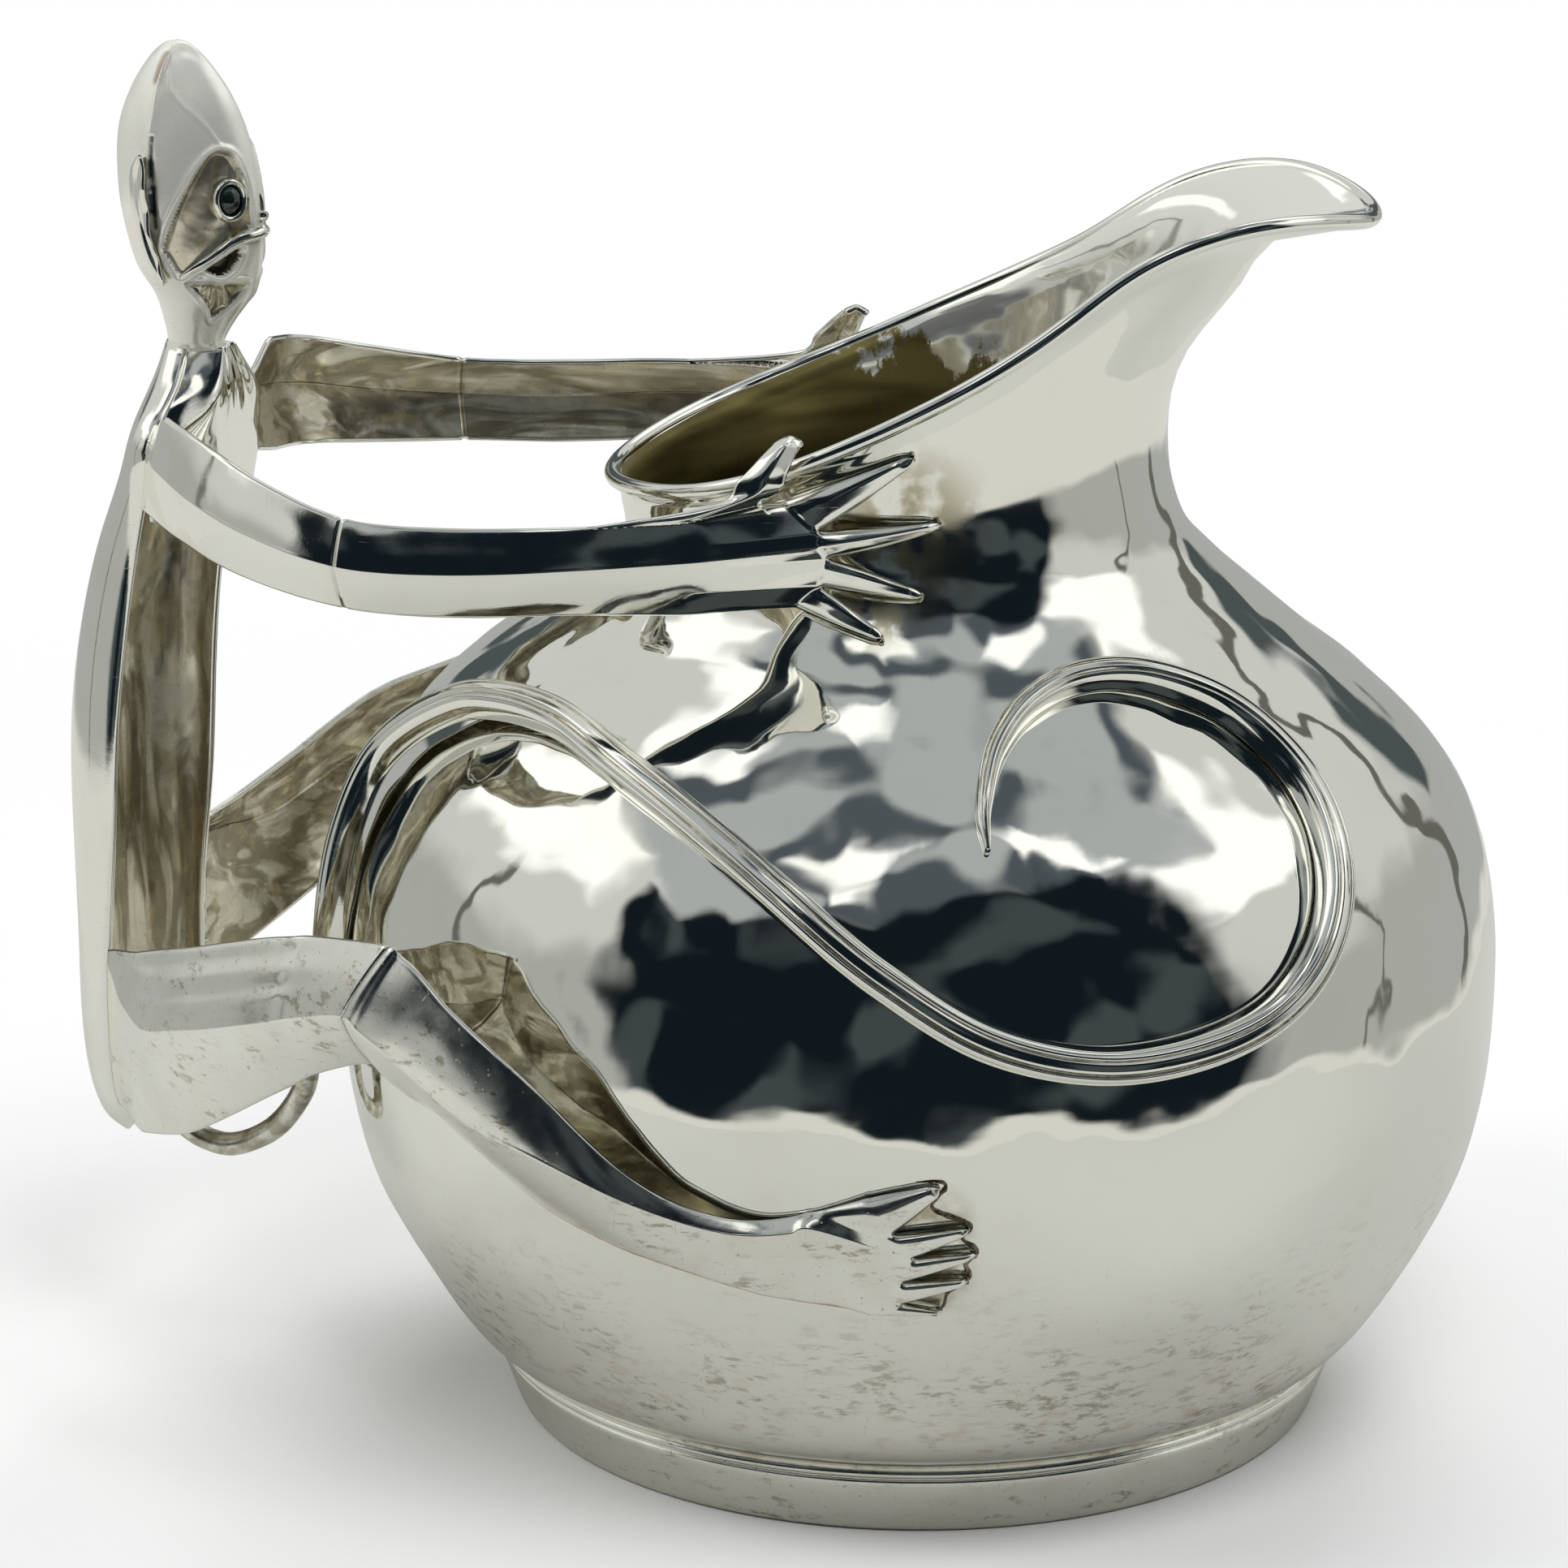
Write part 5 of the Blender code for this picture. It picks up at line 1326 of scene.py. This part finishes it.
# brightness of the room as the jug sees it; turns are from the camera's azimuth, in degrees
WALL_TONE = (0.60, 0.61, 0.60)
LOW_WALL_TONE = (0.40, 0.41, 0.40)
CEILING_TONE = (0.075, 0.09, 0.105)
BRIGHT_CEILING_TONE = (0.40, 0.425, 0.44)
FRAME_TONE = (0.13, 0.13, 0.12)
DARK_TONE = (0.006, 0.010, 0.014)
DIM_TONE = (0.07, 0.085, 0.09)
WINDOW_TONE = (1.12, 1.13, 1.13)
DARK_HALF_WIDTH = 66.0
DARK_TOP = (41.0, 55.0)
DARK_BOTTOM = -14.0
DARK_BACK_TOP = 16.0
# turn, elevation, half width and half height of the ceiling's windows
WINDOWS = [(-22, 64, 13, 8), (60, 66, 15, 7), (-14, 52, 7, 4), (-100, 40, 24, 12), (88, 40, 22, 14),
           (-128, 58, 14, 7), (170, 46, 26, 12), (-160, 70, 12, 8)]
# turn and half width of dark upright frames on the walls
FRAMES = [(134, 2.2), (-97, 1.2), (103, 0.8)]


def add_room():
    """Pale room with a dark side behind the camera, as round a photographer, and soft windows."""
    world = bpy.data.worlds.new("room")
    world.use_nodes = True
    world.node_tree.nodes.clear()
    bpy.context.scene.world = world
    nodes = Nodes(world.node_tree)
    place = nodes.new("ShaderNodeTexCoord").outputs["Generated"]
    split = nodes.new("ShaderNodeSeparateXYZ")
    nodes.link(place, split.inputs[0])
    x, y, z = split.outputs
    c, s = math.cos(CAMERA_AZIMUTH), math.sin(CAMERA_AZIMUTH)
    toward = nodes.math("ADD", nodes.math("MULTIPLY", x, s), nodes.math("MULTIPLY", y, -c))
    beside = nodes.math("ADD", nodes.math("MULTIPLY", x, c), nodes.math("MULTIPLY", y, s))
    waver = nodes.math("SUBTRACT", nodes.grain(place, 3.1, 1), 0.5)
    sway = nodes.math("SUBTRACT", nodes.grain(place, 2.3, 1), 0.5)
    level = nodes.math("DEGREES", nodes.math("ARCSINE", z))
    elevation = nodes.math("ADD", level, nodes.math("MULTIPLY", waver, 26))
    turn = nodes.math("ADD", nodes.math("DEGREES", nodes.math("ARCTAN2", beside, toward)),
                      nodes.math("MULTIPLY", sway, 30))
    aside = nodes.math("ABSOLUTE", turn)
    colour = nodes.mix(nodes.range(elevation, 4, 18), LOW_WALL_TONE, WALL_TONE)
    colour = nodes.mix(nodes.range(level, DARK_BOTTOM - 1, DARK_BOTTOM + 1), TABLE_TONE, colour)
    for middle, half_width in FRAMES:
        across = nodes.math("ABSOLUTE", nodes.math("SUBTRACT", turn, middle))
        upright = nodes.product(nodes.range(across, half_width - 0.6, half_width + 0.6, 1, 0),
                                nodes.range(elevation, 32, 38, 1, 0), nodes.range(level, -15, -13))
        colour = nodes.mix(upright, colour, FRAME_TONE)
    cloud = nodes.range(nodes.grain(place, 3.2, 0.5), 0.44, 0.56)
    ceiling = nodes.mix(cloud, CEILING_TONE, BRIGHT_CEILING_TONE)
    eaves = nodes.range(aside, 50, 85, 36, 52)
    colour = nodes.mix(nodes.range(nodes.math("SUBTRACT", elevation, eaves), 0, 7), colour, ceiling)
    for middle, height, half_width, half_height in WINDOWS:
        across = nodes.math("ABSOLUTE", nodes.math("SUBTRACT", turn, middle))
        upward = nodes.math("ABSOLUTE", nodes.math("SUBTRACT", elevation, height))
        lit = nodes.product(nodes.range(across, half_width - 3, half_width + 3, 1, 0),
                            nodes.range(upward, half_height - 2, half_height + 2, 1, 0))
        colour = nodes.mix(lit, colour, WINDOW_TONE)
    top = nodes.range(turn, -12, 14, *DARK_TOP)
    over = nodes.math("SUBTRACT", elevation, top)
    dark = nodes.product(nodes.range(aside, DARK_HALF_WIDTH - 4, DARK_HALF_WIDTH + 4, 1, 0),
                         nodes.range(over, -2, 2, 1, 0), nodes.range(level, DARK_BOTTOM - 1, DARK_BOTTOM + 1))
    behind = nodes.product(nodes.range(aside, 141, 146), nodes.range(elevation, 5, 8),
                           nodes.range(elevation, DARK_BACK_TOP, DARK_BACK_TOP + 4, 1, 0))
    dim = nodes.range(nodes.grain(place, 3.4, 0.5), 0.50, 0.66)
    colour = nodes.mix(dark, colour, nodes.mix(nodes.product(dim, 0.7), DARK_TONE, DIM_TONE))
    colour = nodes.mix(behind, colour, DIM_TONE)
    room, backdrop = nodes.new("ShaderNodeBackground"), nodes.new("ShaderNodeBackground")
    nodes.link(colour, room.inputs["Color"])
    backdrop.inputs["Color"].default_value = (1, 1, 1, 1)
    choose = nodes.new("ShaderNodeMixShader")
    nodes.link(nodes.new("ShaderNodeLightPath").outputs["Is Camera Ray"], choose.inputs[0])
    nodes.link(room.outputs[0], choose.inputs[1])
    nodes.link(backdrop.outputs[0], choose.inputs[2])
    nodes.link(choose.outputs[0], nodes.new("ShaderNodeOutputWorld").inputs["Surface"])


def add_lights():
    glow("key", (260, -420, 760), (0, 0, 90), (420, 420), 3.6)
    glow("window", (-620, -160, 520), (-40, 0, 110), (300, 420), 2.2, (1.0, 0.99, 0.97))
    glow("back_fill", (120, 620, 620), (0, 0, 100), (500, 300), 2.2)


def build():
    planished = vessel_silver()
    jug_inner = vessel_inside()
    bright = polished("bright_silver")
    body_silver = polished("body_silver", 0.06, 0.06, 0.35)
    worn = satin("satin_silver", 0.13)
    foot_silver = satin("foot_silver", 0.15, 0.45)
    inner = oxidised("tarnished_inside")
    arm_inner = oxidised("tarnished_arm", along=(5, 1.4, 1))
    head_silver = silver_of_head()
    hollow = oxidised("darkened_hollow", (0.44, 0.40, 0.30), (0.78, 0.73, 0.60), (1, 1, 1.6))
    dull = satin("dull_wire", 0.22, 0.2, 0.65)
    seam = solder("copper_solder", (0.86, 0.62, 0.48), (0.62, 0.40, 0.28))
    bead = solder("toe_solder", (0.34, 0.29, 0.20), (0.08, 0.065, 0.045))
    stone = black_stone()
    add_vessel(planished, jug_inner)
    add_mouth_wire(bright)
    add_foot(foot_silver)
    add_torso(body_silver, inner)
    add_chest(body_silver, inner)
    add_head(head_silver, inner, hollow, oxidised("mouth", SOOT, TARNISH))
    for suffix, side, eye, shoulder, thigh, rise in (
            ("right", -1, RIGHT_EYE, RIGHT_SHOULDER, RIGHT_THIGH, 0.0),
            ("left", 1, LEFT_EYE, LEFT_SHOULDER, LEFT_THIGH, LEFT_KNEE_RISE)):
        add_ear("ear_leaf_" + suffix, "ear_" + suffix, side, body_silver, inner)
        add_eye(suffix, eye, side, bright, stone)
        add_arm_and_hand(suffix, side, shoulder, body_silver, arm_inner)
        add_leg(suffix, side, thigh, rise, worn, arm_inner)
        add_toe_solder(suffix, side, bead)
        add_copper_seam(suffix, side, seam)
    add_nose(body_silver)
    add_lips(body_silver)
    add_tail_wire(dull)
    add_tail_band(bright, inner, hollow)


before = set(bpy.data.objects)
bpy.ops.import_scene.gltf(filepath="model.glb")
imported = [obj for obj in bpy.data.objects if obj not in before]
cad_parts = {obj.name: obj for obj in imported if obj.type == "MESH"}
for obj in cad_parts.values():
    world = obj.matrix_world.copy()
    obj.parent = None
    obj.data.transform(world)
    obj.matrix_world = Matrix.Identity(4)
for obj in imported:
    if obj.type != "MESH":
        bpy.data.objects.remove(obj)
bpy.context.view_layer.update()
build()
add_floor()
add_room()
add_lights()
add_camera()
bpy.context.scene.view_settings.view_transform = "Standard"
